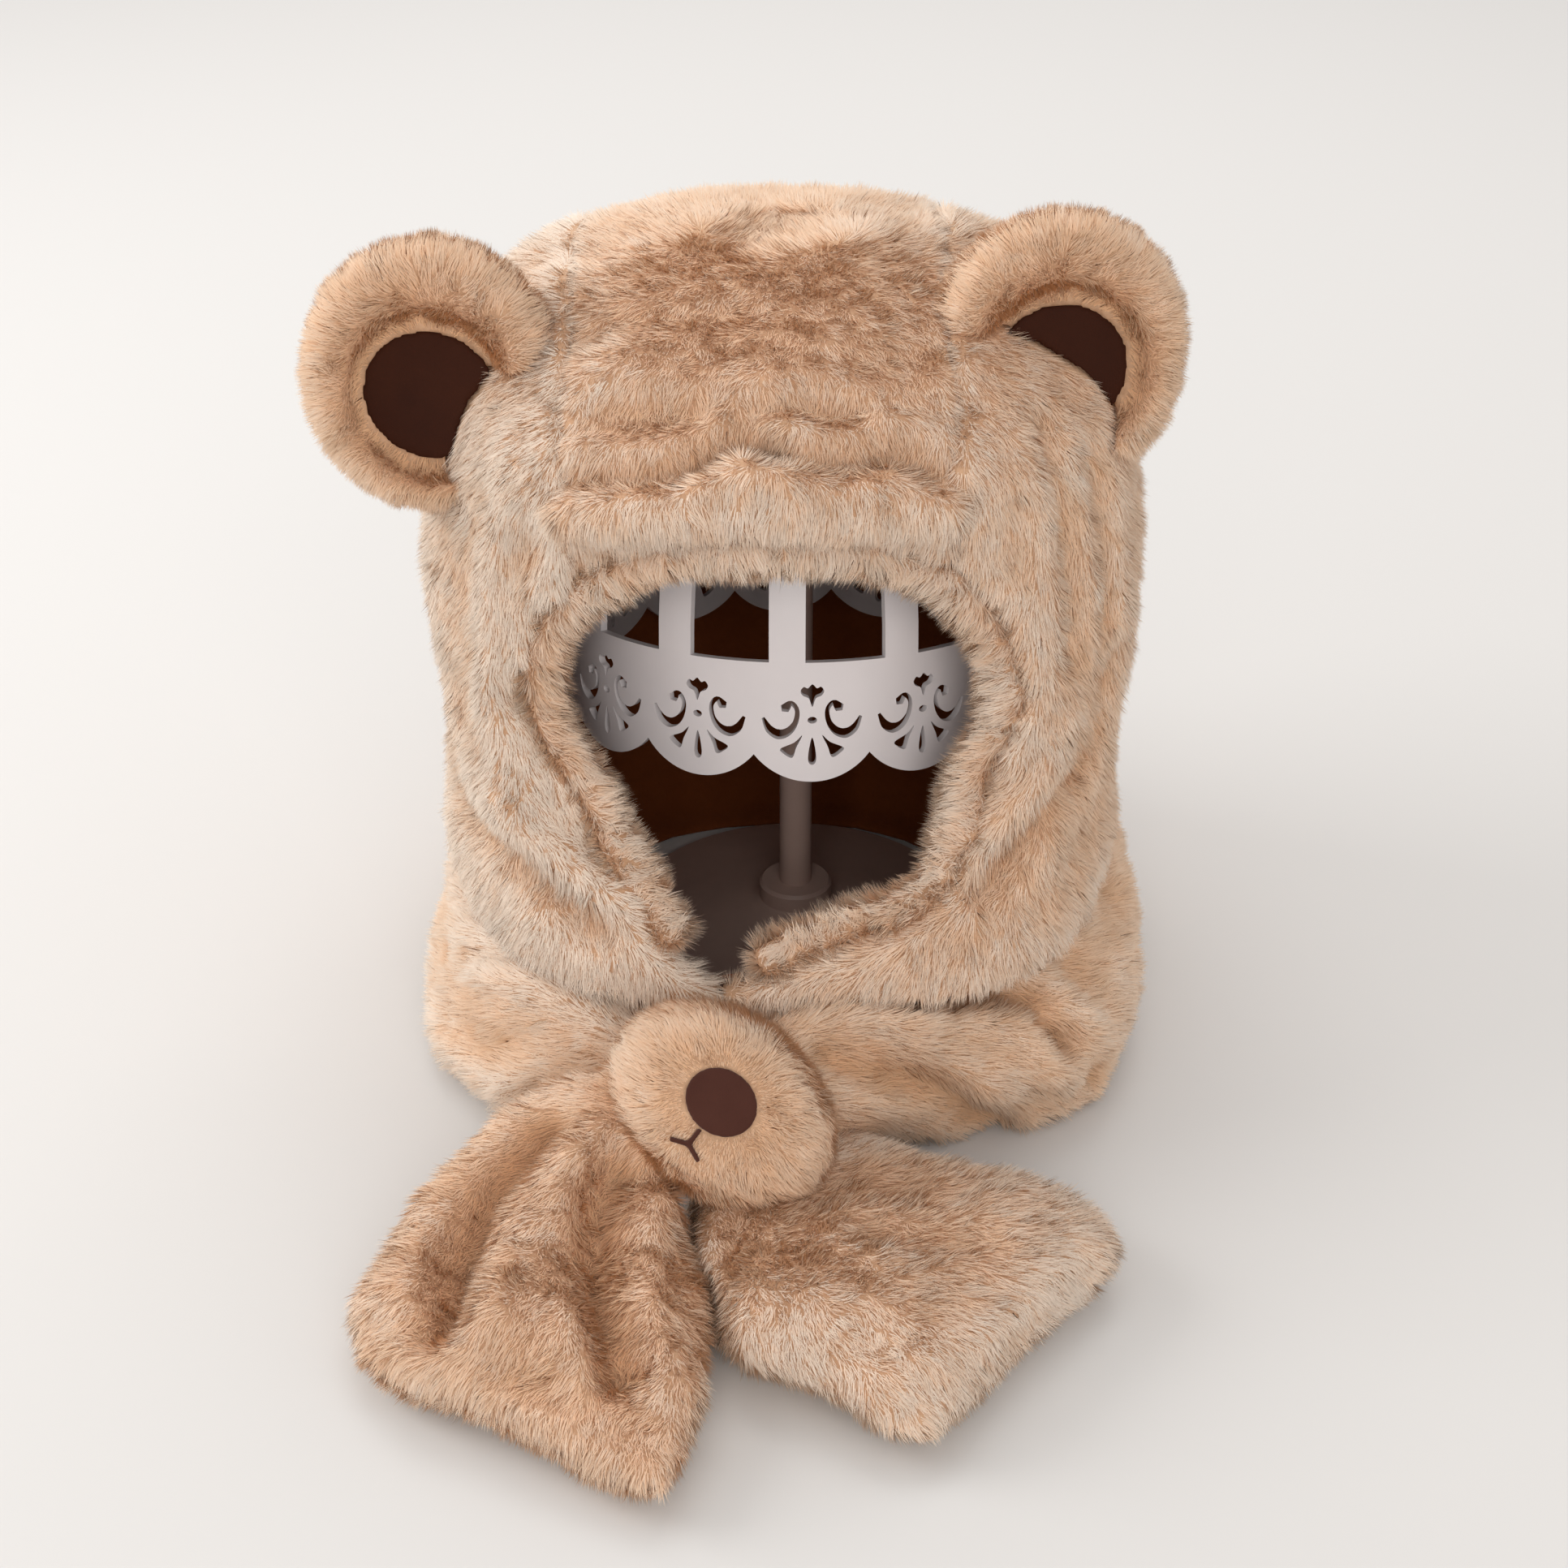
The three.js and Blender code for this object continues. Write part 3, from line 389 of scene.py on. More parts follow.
class NodeGroups:
    """Shader node groups that several finishes share."""

    def __init__(self) -> None:
        """Builds each group once."""
        self.fibre = self.fibre_colour()
        self.mottle = self.soft_mottle()
        self.grain = self.cloth_grain()

    @staticmethod
    def start(name: str, inputs: dict[str, float], outputs: dict[str, str]) -> bpy.types.NodeTree:
        """A new group with float inputs and the named outputs.

        Args:
            name: the group's name.
            inputs: each input and its first value.
            outputs: each output and its socket type.

        Returns:
            The group's tree, with its input and output nodes.
        """
        tree = bpy.data.node_groups.new(name, "ShaderNodeTree")
        for label, value in inputs.items():
            socket = tree.interface.new_socket(label, in_out="INPUT", socket_type="NodeSocketFloat")
            socket.default_value = value
        for label, kind in outputs.items():
            tree.interface.new_socket(label, in_out="OUTPUT", socket_type=kind)
        tree.nodes.new("NodeGroupInput")
        tree.nodes.new("NodeGroupOutput")
        return tree

    def fibre_colour(self) -> bpy.types.NodeTree:
        """How far along a fibre a point is, made uneven by the fibre's tone, its own random tone with
        painted light and shade in it.

        Returns:
            The group, whose Reach runs from 0 at the backing to 1 at the tips, moved paler or darker by
            the tone, and whose second output is each fibre's tone: its own random tone with painted light
            on crests and lit pieces and painted shade in folds and on shaded pieces.
        """
        tree = self.start(
            "fibre_reach", {"Unevenness": 0.25}, {"Reach": "NodeSocketFloat", "Fibre_tone_and_light": "NodeSocketFloat"}
        )
        enter, leave = tree.nodes["Group Input"], tree.nodes["Group Output"]
        reach = tree.nodes.new("ShaderNodeAttribute")
        reach.attribute_name = "reach"
        fibre_tone_and_light = tree.nodes.new("ShaderNodeAttribute")
        fibre_tone_and_light.attribute_name = "fibre_tone_and_light"
        centred = tree.nodes.new("ShaderNodeMath")
        centred.operation = "SUBTRACT"
        centred.inputs[1].default_value = 0.5
        shifted = tree.nodes.new("ShaderNodeMath")
        shifted.operation = "MULTIPLY_ADD"
        shifted.use_clamp = True
        tree.links.new(fibre_tone_and_light.outputs["Fac"], centred.inputs[0])
        tree.links.new(centred.outputs[0], shifted.inputs[0])
        tree.links.new(enter.outputs["Unevenness"], shifted.inputs[1])
        tree.links.new(reach.outputs["Fac"], shifted.inputs[2])
        tree.links.new(shifted.outputs[0], leave.inputs["Reach"])
        tree.links.new(fibre_tone_and_light.outputs["Fac"], leave.inputs["Fibre_tone_and_light"])
        return tree

    def soft_mottle(self) -> bpy.types.NodeTree:
        """Soft patches, as where a nap has been brushed both ways.

        Returns:
            The group, whose Mask runs from 0 to 1.
        """
        tree = self.start("soft_mottle", {"Scale": 30.0, "Contrast": 1.5}, {"Mask": "NodeSocketFloat"})
        enter, leave = tree.nodes["Group Input"], tree.nodes["Group Output"]
        place = tree.nodes.new("ShaderNodeTexCoord")
        noise = tree.nodes.new("ShaderNodeTexNoise")
        noise.inputs["Detail"].default_value = 3.0
        noise.inputs["Roughness"].default_value = 0.55
        centred = tree.nodes.new("ShaderNodeMath")
        centred.operation = "SUBTRACT"
        centred.inputs[1].default_value = 0.5
        spread = tree.nodes.new("ShaderNodeMath")
        spread.operation = "MULTIPLY_ADD"
        spread.use_clamp = True
        spread.inputs[2].default_value = 0.5
        tree.links.new(place.outputs["Object"], noise.inputs["Vector"])
        tree.links.new(enter.outputs["Scale"], noise.inputs["Scale"])
        tree.links.new(noise.outputs["Fac"], centred.inputs[0])
        tree.links.new(centred.outputs[0], spread.inputs[0])
        tree.links.new(enter.outputs["Contrast"], spread.inputs[1])
        tree.links.new(spread.outputs[0], leave.inputs["Mask"])
        return tree

    def cloth_grain(self) -> bpy.types.NodeTree:
        """Fine nap of a brushed cloth or felt.

        Returns:
            The group, whose Height feeds a bump.
        """
        tree = self.start("cloth_grain", {"Scale": 900.0, "Fibre": 0.5}, {"Height": "NodeSocketFloat"})
        enter, leave = tree.nodes["Group Input"], tree.nodes["Group Output"]
        place = tree.nodes.new("ShaderNodeTexCoord")
        fine = tree.nodes.new("ShaderNodeTexNoise")
        fine.inputs["Detail"].default_value = 4.0
        fine.inputs["Roughness"].default_value = 0.7
        cells = tree.nodes.new("ShaderNodeTexVoronoi")
        cells.feature = "F1"
        mixed = tree.nodes.new("ShaderNodeMath")
        mixed.operation = "MULTIPLY_ADD"
        tree.links.new(place.outputs["Object"], fine.inputs["Vector"])
        tree.links.new(place.outputs["Object"], cells.inputs["Vector"])
        tree.links.new(enter.outputs["Scale"], fine.inputs["Scale"])
        tree.links.new(enter.outputs["Scale"], cells.inputs["Scale"])
        tree.links.new(cells.outputs["Distance"], mixed.inputs[0])
        tree.links.new(enter.outputs["Fibre"], mixed.inputs[1])
        tree.links.new(fine.outputs["Fac"], mixed.inputs[2])
        tree.links.new(mixed.outputs[0], leave.inputs["Height"])
        return tree


def new_material(name: str) -> tuple[bpy.types.Material, bpy.types.NodeTree, bpy.types.Node]:
    """A material with its node tree and its principled shader."""
    material = bpy.data.materials.new(name)
    material.use_nodes = True
    return material, material.node_tree, material.node_tree.nodes["Principled BSDF"]


def place_group(
    tree: bpy.types.NodeTree, group: bpy.types.NodeTree, values: dict[str, float]
) -> bpy.types.Node:
    """Places a node group in a tree and sets its inputs."""
    node = tree.nodes.new("ShaderNodeGroup")
    node.node_tree = group
    for label, value in values.items():
        node.inputs[label].default_value = value
    return node


def mix_colours(
    tree: bpy.types.NodeTree,
    share: bpy.types.NodeSocket,
    low: Colour | bpy.types.NodeSocket,
    high: Colour | bpy.types.NodeSocket,
) -> bpy.types.NodeSocket:
    """Mixes two colours by a share that changes over the surface.

    Args:
        tree: the material's nodes.
        share: 0 gives low and 1 gives high.
        low: a colour or a socket that puts one out.
        high: as low.

    Returns:
        The socket of the mixed colour.
    """
    node = tree.nodes.new("ShaderNodeMix")
    node.data_type = "RGBA"
    tree.links.new(share, node.inputs["Factor"])
    for socket, value in ((node.inputs["A"], low), (node.inputs["B"], high)):
        if isinstance(value, bpy.types.NodeSocket):
            tree.links.new(value, socket)
        else:
            socket.default_value = (*value, 1.0)
    return node.outputs["Result"]


def raise_grain(
    tree: bpy.types.NodeTree,
    groups: "NodeGroups",
    shader: bpy.types.Node,
    grain: tuple[float, float],
    relief: tuple[float, float],
) -> None:
    """Gives a surface the relief of its grain.

    Args:
        tree: the material's nodes.
        groups: the shared effects.
        shader: the surface's shader.
        grain: the grain's scale and how fibrous it is.
        relief: the relief's strength and depth.
    """
    scale, fibre = grain
    pattern = place_group(tree, groups.grain, {"Scale": scale, "Fibre": fibre})
    bump = tree.nodes.new("ShaderNodeBump")
    strength, depth = relief
    bump.inputs["Strength"].default_value = strength
    bump.inputs["Distance"].default_value = depth
    tree.links.new(pattern.outputs["Height"], bump.inputs["Height"])
    tree.links.new(bump.outputs["Normal"], shader.inputs["Normal"])


@dataclass(frozen=True)
class PlushFinish:
    """Plush fibres, from the shaded backing out to the pale tips."""

    name: str = "plush_pile"
    backing: Colour = (0.80, 0.50, 0.305)
    shaft: Colour = (0.95, 0.655, 0.44)
    tip: Colour = (0.99, 0.76, 0.575)
    golden: Colour = (0.87, 0.53, 0.30)
    cream: Colour = (1.0, 0.88, 0.76)
    roughness: float = 0.9

    def material(self, groups: NodeGroups) -> bpy.types.Material:
        """Builds the fibres' material."""
        material, tree, shader = new_material(self.name)
        fibre = place_group(tree, groups.fibre, {"Unevenness": 0.5})
        along = tree.nodes.new("ShaderNodeValToRGB")
        stops = along.color_ramp.elements
        stops[0].color = (*self.backing, 1.0)
        stops[1].color = (*self.tip, 1.0)
        middle = stops.new(0.45)
        middle.color = (*self.shaft, 1.0)
        tree.links.new(fibre.outputs["Reach"], along.inputs["Fac"])
        # Low tone turns golden and high tone cream, so the painted shade of folds and shaded pieces turns
        # golden and the painted light of crests and lit pieces turns cream.
        golden = self.share(tree, fibre.outputs["Fibre_tone_and_light"], (0.5, 0.1), 0.75)
        cream = self.share(tree, fibre.outputs["Fibre_tone_and_light"], (0.5, 0.95), 0.8)
        deeper = mix_colours(tree, golden, along.outputs["Color"], self.golden)
        colour = mix_colours(tree, cream, deeper, self.cream)
        tree.links.new(colour, shader.inputs["Base Color"])
        shader.inputs["Roughness"].default_value = self.roughness
        shader.inputs["Specular IOR Level"].default_value = 0.15
        shader.inputs["Sheen Weight"].default_value = 0.2
        shader.inputs["Sheen Roughness"].default_value = 0.5
        shader.inputs["Sheen Tint"].default_value = (1.0, 0.88, 0.78, 1.0)
        return material

    @staticmethod
    def share(
        tree: bpy.types.NodeTree, value: bpy.types.NodeSocket, span: tuple[float, float], most: float
    ) -> bpy.types.NodeSocket:
        """A mixing share that rises over a span of a value.

        Args:
            tree: the material's nodes.
            value: the value that the share follows.
            span: where the share is 0 and where it is at its most.
            most: the highest share.

        Returns:
            The share's socket.
        """
        node = tree.nodes.new("ShaderNodeMapRange")
        node.interpolation_type = "SMOOTHSTEP"
        node.inputs["From Min"].default_value = span[0]
        node.inputs["From Max"].default_value = span[1]
        node.inputs["To Max"].default_value = most
        tree.links.new(value, node.inputs["Value"])
        return node.outputs["Result"]


@dataclass(frozen=True)
class BackingFinish:
    """The knitted backing that shows between the fibres' roots: its brown is partly its own and partly
    painted shade between the fibres.
    """

    name: str = "plush_backing"
    dark: Colour = (0.56, 0.33, 0.195)
    light: Colour = (0.72, 0.46, 0.29)

    def material(self, groups: NodeGroups) -> bpy.types.Material:
        """Builds the backing's material."""
        material, tree, shader = new_material(self.name)
        patches = place_group(tree, groups.mottle, {"Scale": 400.0, "Contrast": 2.0})
        colour = mix_colours(tree, patches.outputs["Mask"], self.dark, self.light)
        tree.links.new(colour, shader.inputs["Base Color"])
        shader.inputs["Roughness"].default_value = 0.95
        raise_grain(tree, groups, shader, (700.0, 0.6), (0.6, 0.8 * MM))
        return material


@dataclass(frozen=True)
class ClothFinish:
    """A brushed or felted cloth."""

    name: str
    dark: Colour
    light: Colour
    roughness: float = 0.9
    sheen: float = 0.2
    grain_scale: float = 900.0
    grain_depth: float = 0.25 * MM
    mottle_scale: float = 60.0

    def material(self, groups: NodeGroups) -> bpy.types.Material:
        """Builds the cloth's material."""
        material, tree, shader = new_material(self.name)
        patches = place_group(tree, groups.mottle, {"Scale": self.mottle_scale, "Contrast": 1.6})
        colour = mix_colours(tree, patches.outputs["Mask"], self.dark, self.light)
        tree.links.new(colour, shader.inputs["Base Color"])
        shader.inputs["Roughness"].default_value = self.roughness
        shader.inputs["Specular IOR Level"].default_value = 0.2
        shader.inputs["Sheen Weight"].default_value = self.sheen
        shader.inputs["Sheen Roughness"].default_value = 0.5
        raise_grain(tree, groups, shader, (self.grain_scale, 0.5), (0.7, self.grain_depth))
        return material


@dataclass(frozen=True)
class PlasticFinish:
    """White moulded plastic with a satin surface."""

    name: str = "stand_plastic"
    clean: Colour = (0.74, 0.695, 0.70)
    worn: Colour = (0.68, 0.635, 0.64)

    def material(self, groups: NodeGroups) -> bpy.types.Material:
        """Builds the plastic's material."""
        material, tree, shader = new_material(self.name)
        patches = place_group(tree, groups.mottle, {"Scale": 45.0, "Contrast": 1.4})
        colour = mix_colours(tree, patches.outputs["Mask"], self.clean, self.worn)
        tree.links.new(colour, shader.inputs["Base Color"])
        haze = tree.nodes.new("ShaderNodeMapRange")
        haze.inputs["To Min"].default_value = 0.30
        haze.inputs["To Max"].default_value = 0.44
        tree.links.new(patches.outputs["Mask"], haze.inputs["Value"])
        tree.links.new(haze.outputs["Result"], shader.inputs["Roughness"])
        shader.inputs["Coat Weight"].default_value = 0.15
        shader.inputs["Coat Roughness"].default_value = 0.3
        raise_grain(tree, groups, shader, (500.0, 0.1), (0.08, 0.05 * MM))
        return material


class Finishes:
    """Every finish of the object, built once."""

    def __init__(self) -> None:
        """Builds the groups and the materials."""
        groups = NodeGroups()
        self.pile = PlushFinish().material(groups)
        self.backing = BackingFinish().material(groups)
        self.lining = ClothFinish(
            "lining_cloth", (0.17, 0.040, 0.009), (0.26, 0.068, 0.015), 0.92, 0.1, 700.0, 0.5 * MM, 45.0
        ).material(groups)
        self.patch = ClothFinish(
            "ear_patch_cloth", (0.026, 0.0045, 0.0006), (0.040, 0.008, 0.0012), 0.8, 0.0, 1500.0, 0.15 * MM
        ).material(groups)
        self.felt = ClothFinish(
            "nose_felt", (0.056, 0.016, 0.010), (0.078, 0.026, 0.017), 0.9, 0.15, 1400.0, 0.15 * MM
        ).material(groups)
        self.plastic = PlasticFinish().material(groups)
        # Painted shade: the post and the base get a darker, browner copy of the white plastic, for how
        # little light reaches them under the hood.
        self.shaded_plastic = PlasticFinish(
            "stand_plastic_shaded", (0.60, 0.43, 0.37), (0.48, 0.34, 0.29)
        ).material(groups)


def wear(piece: bpy.types.Object, material: bpy.types.Material) -> None:
    """Dresses a piece and lets it ride on the object."""
    piece.data.materials.clear()
    piece.data.materials.append(material)
    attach(piece, BODY)


@dataclass
class PlushPiece:
    """A soft piece of plush: a skin in its folds and the fibres on it."""

    node: str
    fill: float
    pile: Pile = field(default_factory=Pile)
    creases: tuple[Crease, ...] = ()
    voxel: float = 3.4 * MM
    rounds: int = 4
    unrest: float = 0.8 * MM
    joined: tuple[str, ...] = ()
    swell: float = 1.5 * MM
    seed: int = 1
    skin: bpy.types.Object | None = None

    def make_skin(self, finishes: Finishes) -> bpy.types.Object:
        """Builds the skin over the CAD solid, with its folds."""
        skin = copy_node(self.node, f"{self.node}_skin")
        soften(skin, self.voxel, self.rounds)
        points, corners = triangles_of(skin.data)
        normals = normals_of(skin.data)
        tree = BVHTree.FromPolygons(points.tolist(), corners.tolist())
        move = self.unrest * waves(points, 45 * MM, self.seed)[:, 0] + self.seam_swell(points)
        for crease in self.creases:
            move = move + crease.press(points, normals, tree)
        points = points + normals * move[:, None]
        points[:, 2] = np.maximum(points[:, 2], FLOOR_GAP)
        skin.data.vertices.foreach_set("co", points.astype(np.float32).ravel())
        skin.data.update()
        wear(skin, finishes.backing)
        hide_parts(self.node)
        self.skin = skin
        return skin

    def seam_swell(self, points: np.ndarray) -> np.ndarray:
        """How far the skin swells next to the pieces it is sewn to, which closes the seams."""
        swell = np.zeros(len(points))
        for name in self.joined:
            neighbour, corners = triangles_of(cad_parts[name].data)
            tree = BVHTree.FromPolygons(neighbour.tolist(), corners.tolist())
            away = np.array([tree.find_nearest(point)[3] for point in points])
            swell = np.maximum(swell, self.swell * np.exp(-((away / (4.5 * MM)) ** 2)))
        return swell

    def exposed(self, middles: np.ndarray, normals: np.ndarray, around: BVHTree) -> np.ndarray:
        """Which faces of the skin have room for fibres.

        Args:
            middles: the middle of each face.
            normals: the normal of each face.
            around: all the solids and skins together.

        Returns:
            A mask over the faces.
        """
        near = 1.4 * MM
        far = 60 * MM
        open_faces = np.zeros(len(middles), bool)
        for index, (middle, normal) in enumerate(zip(middles, normals)):
            if middle[2] < 1.5 * MM and normal[2] < -0.5:
                continue
            outwards = Vector(normal)
            start = Vector(middle) + outwards * 0.4 * MM
            if around.ray_cast(start, outwards, near)[0] is not None:
                continue
            side = outwards.orthogonal().normalized()
            other = outwards.cross(side)
            tries = (outwards, outwards + side, outwards - side, outwards + other, outwards - other)
            open_faces[index] = any(
                around.ray_cast(start, heading.normalized(), far)[0] is None for heading in tries
            )
        return open_faces

    def brushed(self, roots: np.ndarray, normals: np.ndarray) -> np.ndarray:
        """The direction in which the pile is brushed at each root, along the surface."""
        middle = np.array((np.array(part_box(self.node)[0]) + np.array(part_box(self.node)[1])) / 2)
        if self.pile.comb is Comb.DOWN:
            heading = np.tile((0.0, 0.0, -1.0), (len(roots), 1))
            opening = np.array(FACE_MIDDLE) - roots
            near = np.exp(-((np.linalg.norm(opening, axis=1) / (85 * MM)) ** 4))
            heading = heading + 1.1 * near[:, None] * unit(opening)
        elif self.pile.comb is Comb.INTO_OPENING:
            heading = unit(middle * (1, 0, 1) - roots * (1, 0, 1)) + (0, -0.7, 0)
        elif self.pile.comb is Comb.FROM_MIDDLE:
            heading = unit(roots - middle)
        else:
            knot = np.array((-34 * MM, -140 * MM, 20 * MM))
            heading = unit(roots - knot) + (0, 0, -0.3)
        flat = heading - normals * np.sum(heading * normals, axis=1, keepdims=True)
        return unit(flat)

    def make_pile(self, finishes: Finishes, around: BVHTree) -> bpy.types.Object:
        """Plants the fibres on the skin.

        Args:
            finishes: the object's finishes.
            around: all the solids and skins together.

        Returns:
            The pile, as one mesh of flat blades.
        """
        draw = np.random.default_rng(self.seed)
        points, corners = triangles_of(self.skin.data)
        smooth = normals_of(self.skin.data)
        relief = relief_of(self.skin.data, 60)
        first, second, third = (points[corners[:, side]] for side in range(3))
        cross = np.cross(second - first, third - first)
        area = np.linalg.norm(cross, axis=1) / 2
        room = self.exposed((first + second + third) / 3, unit(cross), around)
        front = np.where(first[:, 1] < 20 * MM, 1.0, 0.7)
        weight = np.where(room, area * front, 0.0)
        count = min(self.pile.limit, int(weight.sum() / MM**2 * self.pile.density))
        chosen = draw.choice(len(corners), size=count, p=weight / weight.sum())
        share = np.sort(draw.random((count, 2)), axis=1)
        weights = np.stack((share[:, 0], share[:, 1] - share[:, 0], 1 - share[:, 1]), axis=1)
        roots = sum(points[corners[chosen, side]] * weights[:, [side]] for side in range(3))
        normals = unit(sum(smooth[corners[chosen, side]] * weights[:, [side]] for side in range(3)))
        height = sum(relief[corners[chosen, side]] * weights[:, side] for side in range(3))
        return self.blades(finishes, roots, normals, height, draw)

    def trim(self, roots: np.ndarray) -> np.ndarray:
        """How much of its length each fibre keeps beside the pieces that it would hide.

        Args:
            roots: where the fibres stand.

        Returns:
            A share for each fibre.
        """
        kept = np.ones(len(roots))
        for node in self.pile.trimmed_by:
            points, _ = triangles_of(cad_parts[node].data)
            tree = point_tree(points)
            away = np.array([tree.find(root)[2] for root in roots])
            kept = np.minimum(kept, np.clip(away / TRIM_REACH, TRIM_LEAST, 1.0))
        return kept

    def blades(
        self,
        finishes: Finishes,
        roots: np.ndarray,
        normals: np.ndarray,
        height: np.ndarray,
        draw: np.random.Generator,
    ) -> bpy.types.Object:
        """Makes one flat blade at each root, brushed, ruffled and gathered into tufts.

        Args:
            finishes: the object's finishes.
            roots: where the fibres stand.
            normals: the skin's normals there.
            height: how far the skin stands proud there.
            draw: the piece's random numbers.

        Returns:
            The pile.
        """
        pile = self.pile
        count = len(roots)
        middles = roots[:: max(1, int(pile.density * (pile.clump / MM) ** 2))]
        tree = point_tree(middles)
        tuft = np.array([tree.find(root)[1] for root in roots])
        stray = draw.normal(scale=pile.ruffle, size=(len(middles), 3))[tuft]
        drift = waves(roots, 16 * MM, self.seed + 60) * pile.ruffle
        heading = normals * math.cos(pile.lean) + self.brushed(roots, normals) * math.sin(pile.lean)
        heading = unit(heading + stray + drift + draw.normal(scale=0.12, size=(count, 3)))
        lift = np.sum(heading * normals, axis=1, keepdims=True)
        heading = unit(heading + normals * np.maximum(LEAST_LIFT - lift, 0))
        opening = np.linalg.norm(roots - FACE_MIDDLE, axis=1)
        edge = 1 + OPENING_EXTRA * np.exp(-((opening / OPENING_REACH) ** 6))
        length = pile.length * edge * draw.uniform(0.7, 1.12, count) * self.trim(roots)
        tips = roots + heading * length[:, None]
        gathered = middles[tuft] + heading * pile.length
        tips += (gathered - tips) * pile.gather * draw.uniform(0.5, 1.0, (count, 1))
        tips[:, 2] = np.maximum(tips[:, 2], FLOOR_GAP)
        heading = unit(tips - roots)
        side = unit(np.cross(heading, normals) + draw.normal(scale=0.35, size=(count, 3)))
        sunk = roots - normals * ROOT_DEPTH
        sunk[:, 2] = np.maximum(sunk[:, 2], FLOOR_GAP)
        half = side * pile.width / 2
        points = np.stack((sunk - half, sunk + half, tips), axis=1).reshape(-1, 3)
        out = unit(normals + 0.25 * heading + draw.normal(scale=0.12, size=(count, 3)))
        shading = np.repeat(out, 3, axis=0)
        faces = np.arange(count * 3).reshape(-1, 3)
        # Painted light and shade in each fibre's tone: paler on the skin's crests and darker in its folds,
        # and the whole piece paler or darker for how it is lit; the broad waves, tufts and noise are the
        # pile's own random tone.
        crest = np.clip((height / MM - 0.7) / 5, -0.5, 0.5)
        broad = waves(roots, 30 * MM, self.seed + 80)[:, 0]
        tufted = draw.normal(size=len(middles))[tuft]
        shade = 0.5 + pile.piece_tone_and_light + pile.crest * crest + 0.035 * broad + 0.05 * tufted
        shade = np.clip(shade + draw.normal(scale=0.07, size=count), 0, 1)
        made = triangle_object(f"{self.node}_pile", points, faces)
        reach = made.data.attributes.new("reach", "FLOAT", "POINT")
        reach.data.foreach_set("value", np.tile((0.0, 0.0, 1.0), count).astype(np.float32))
        fibre_tone_and_light = made.data.attributes.new("fibre_tone_and_light", "FLOAT", "POINT")
        fibre_tone_and_light.data.foreach_set("value", np.repeat(shade, 3).astype(np.float32))
        made.data.normals_split_custom_set_from_vertices(shading.astype(np.float32))
        wear(made, finishes.pile)
        return made


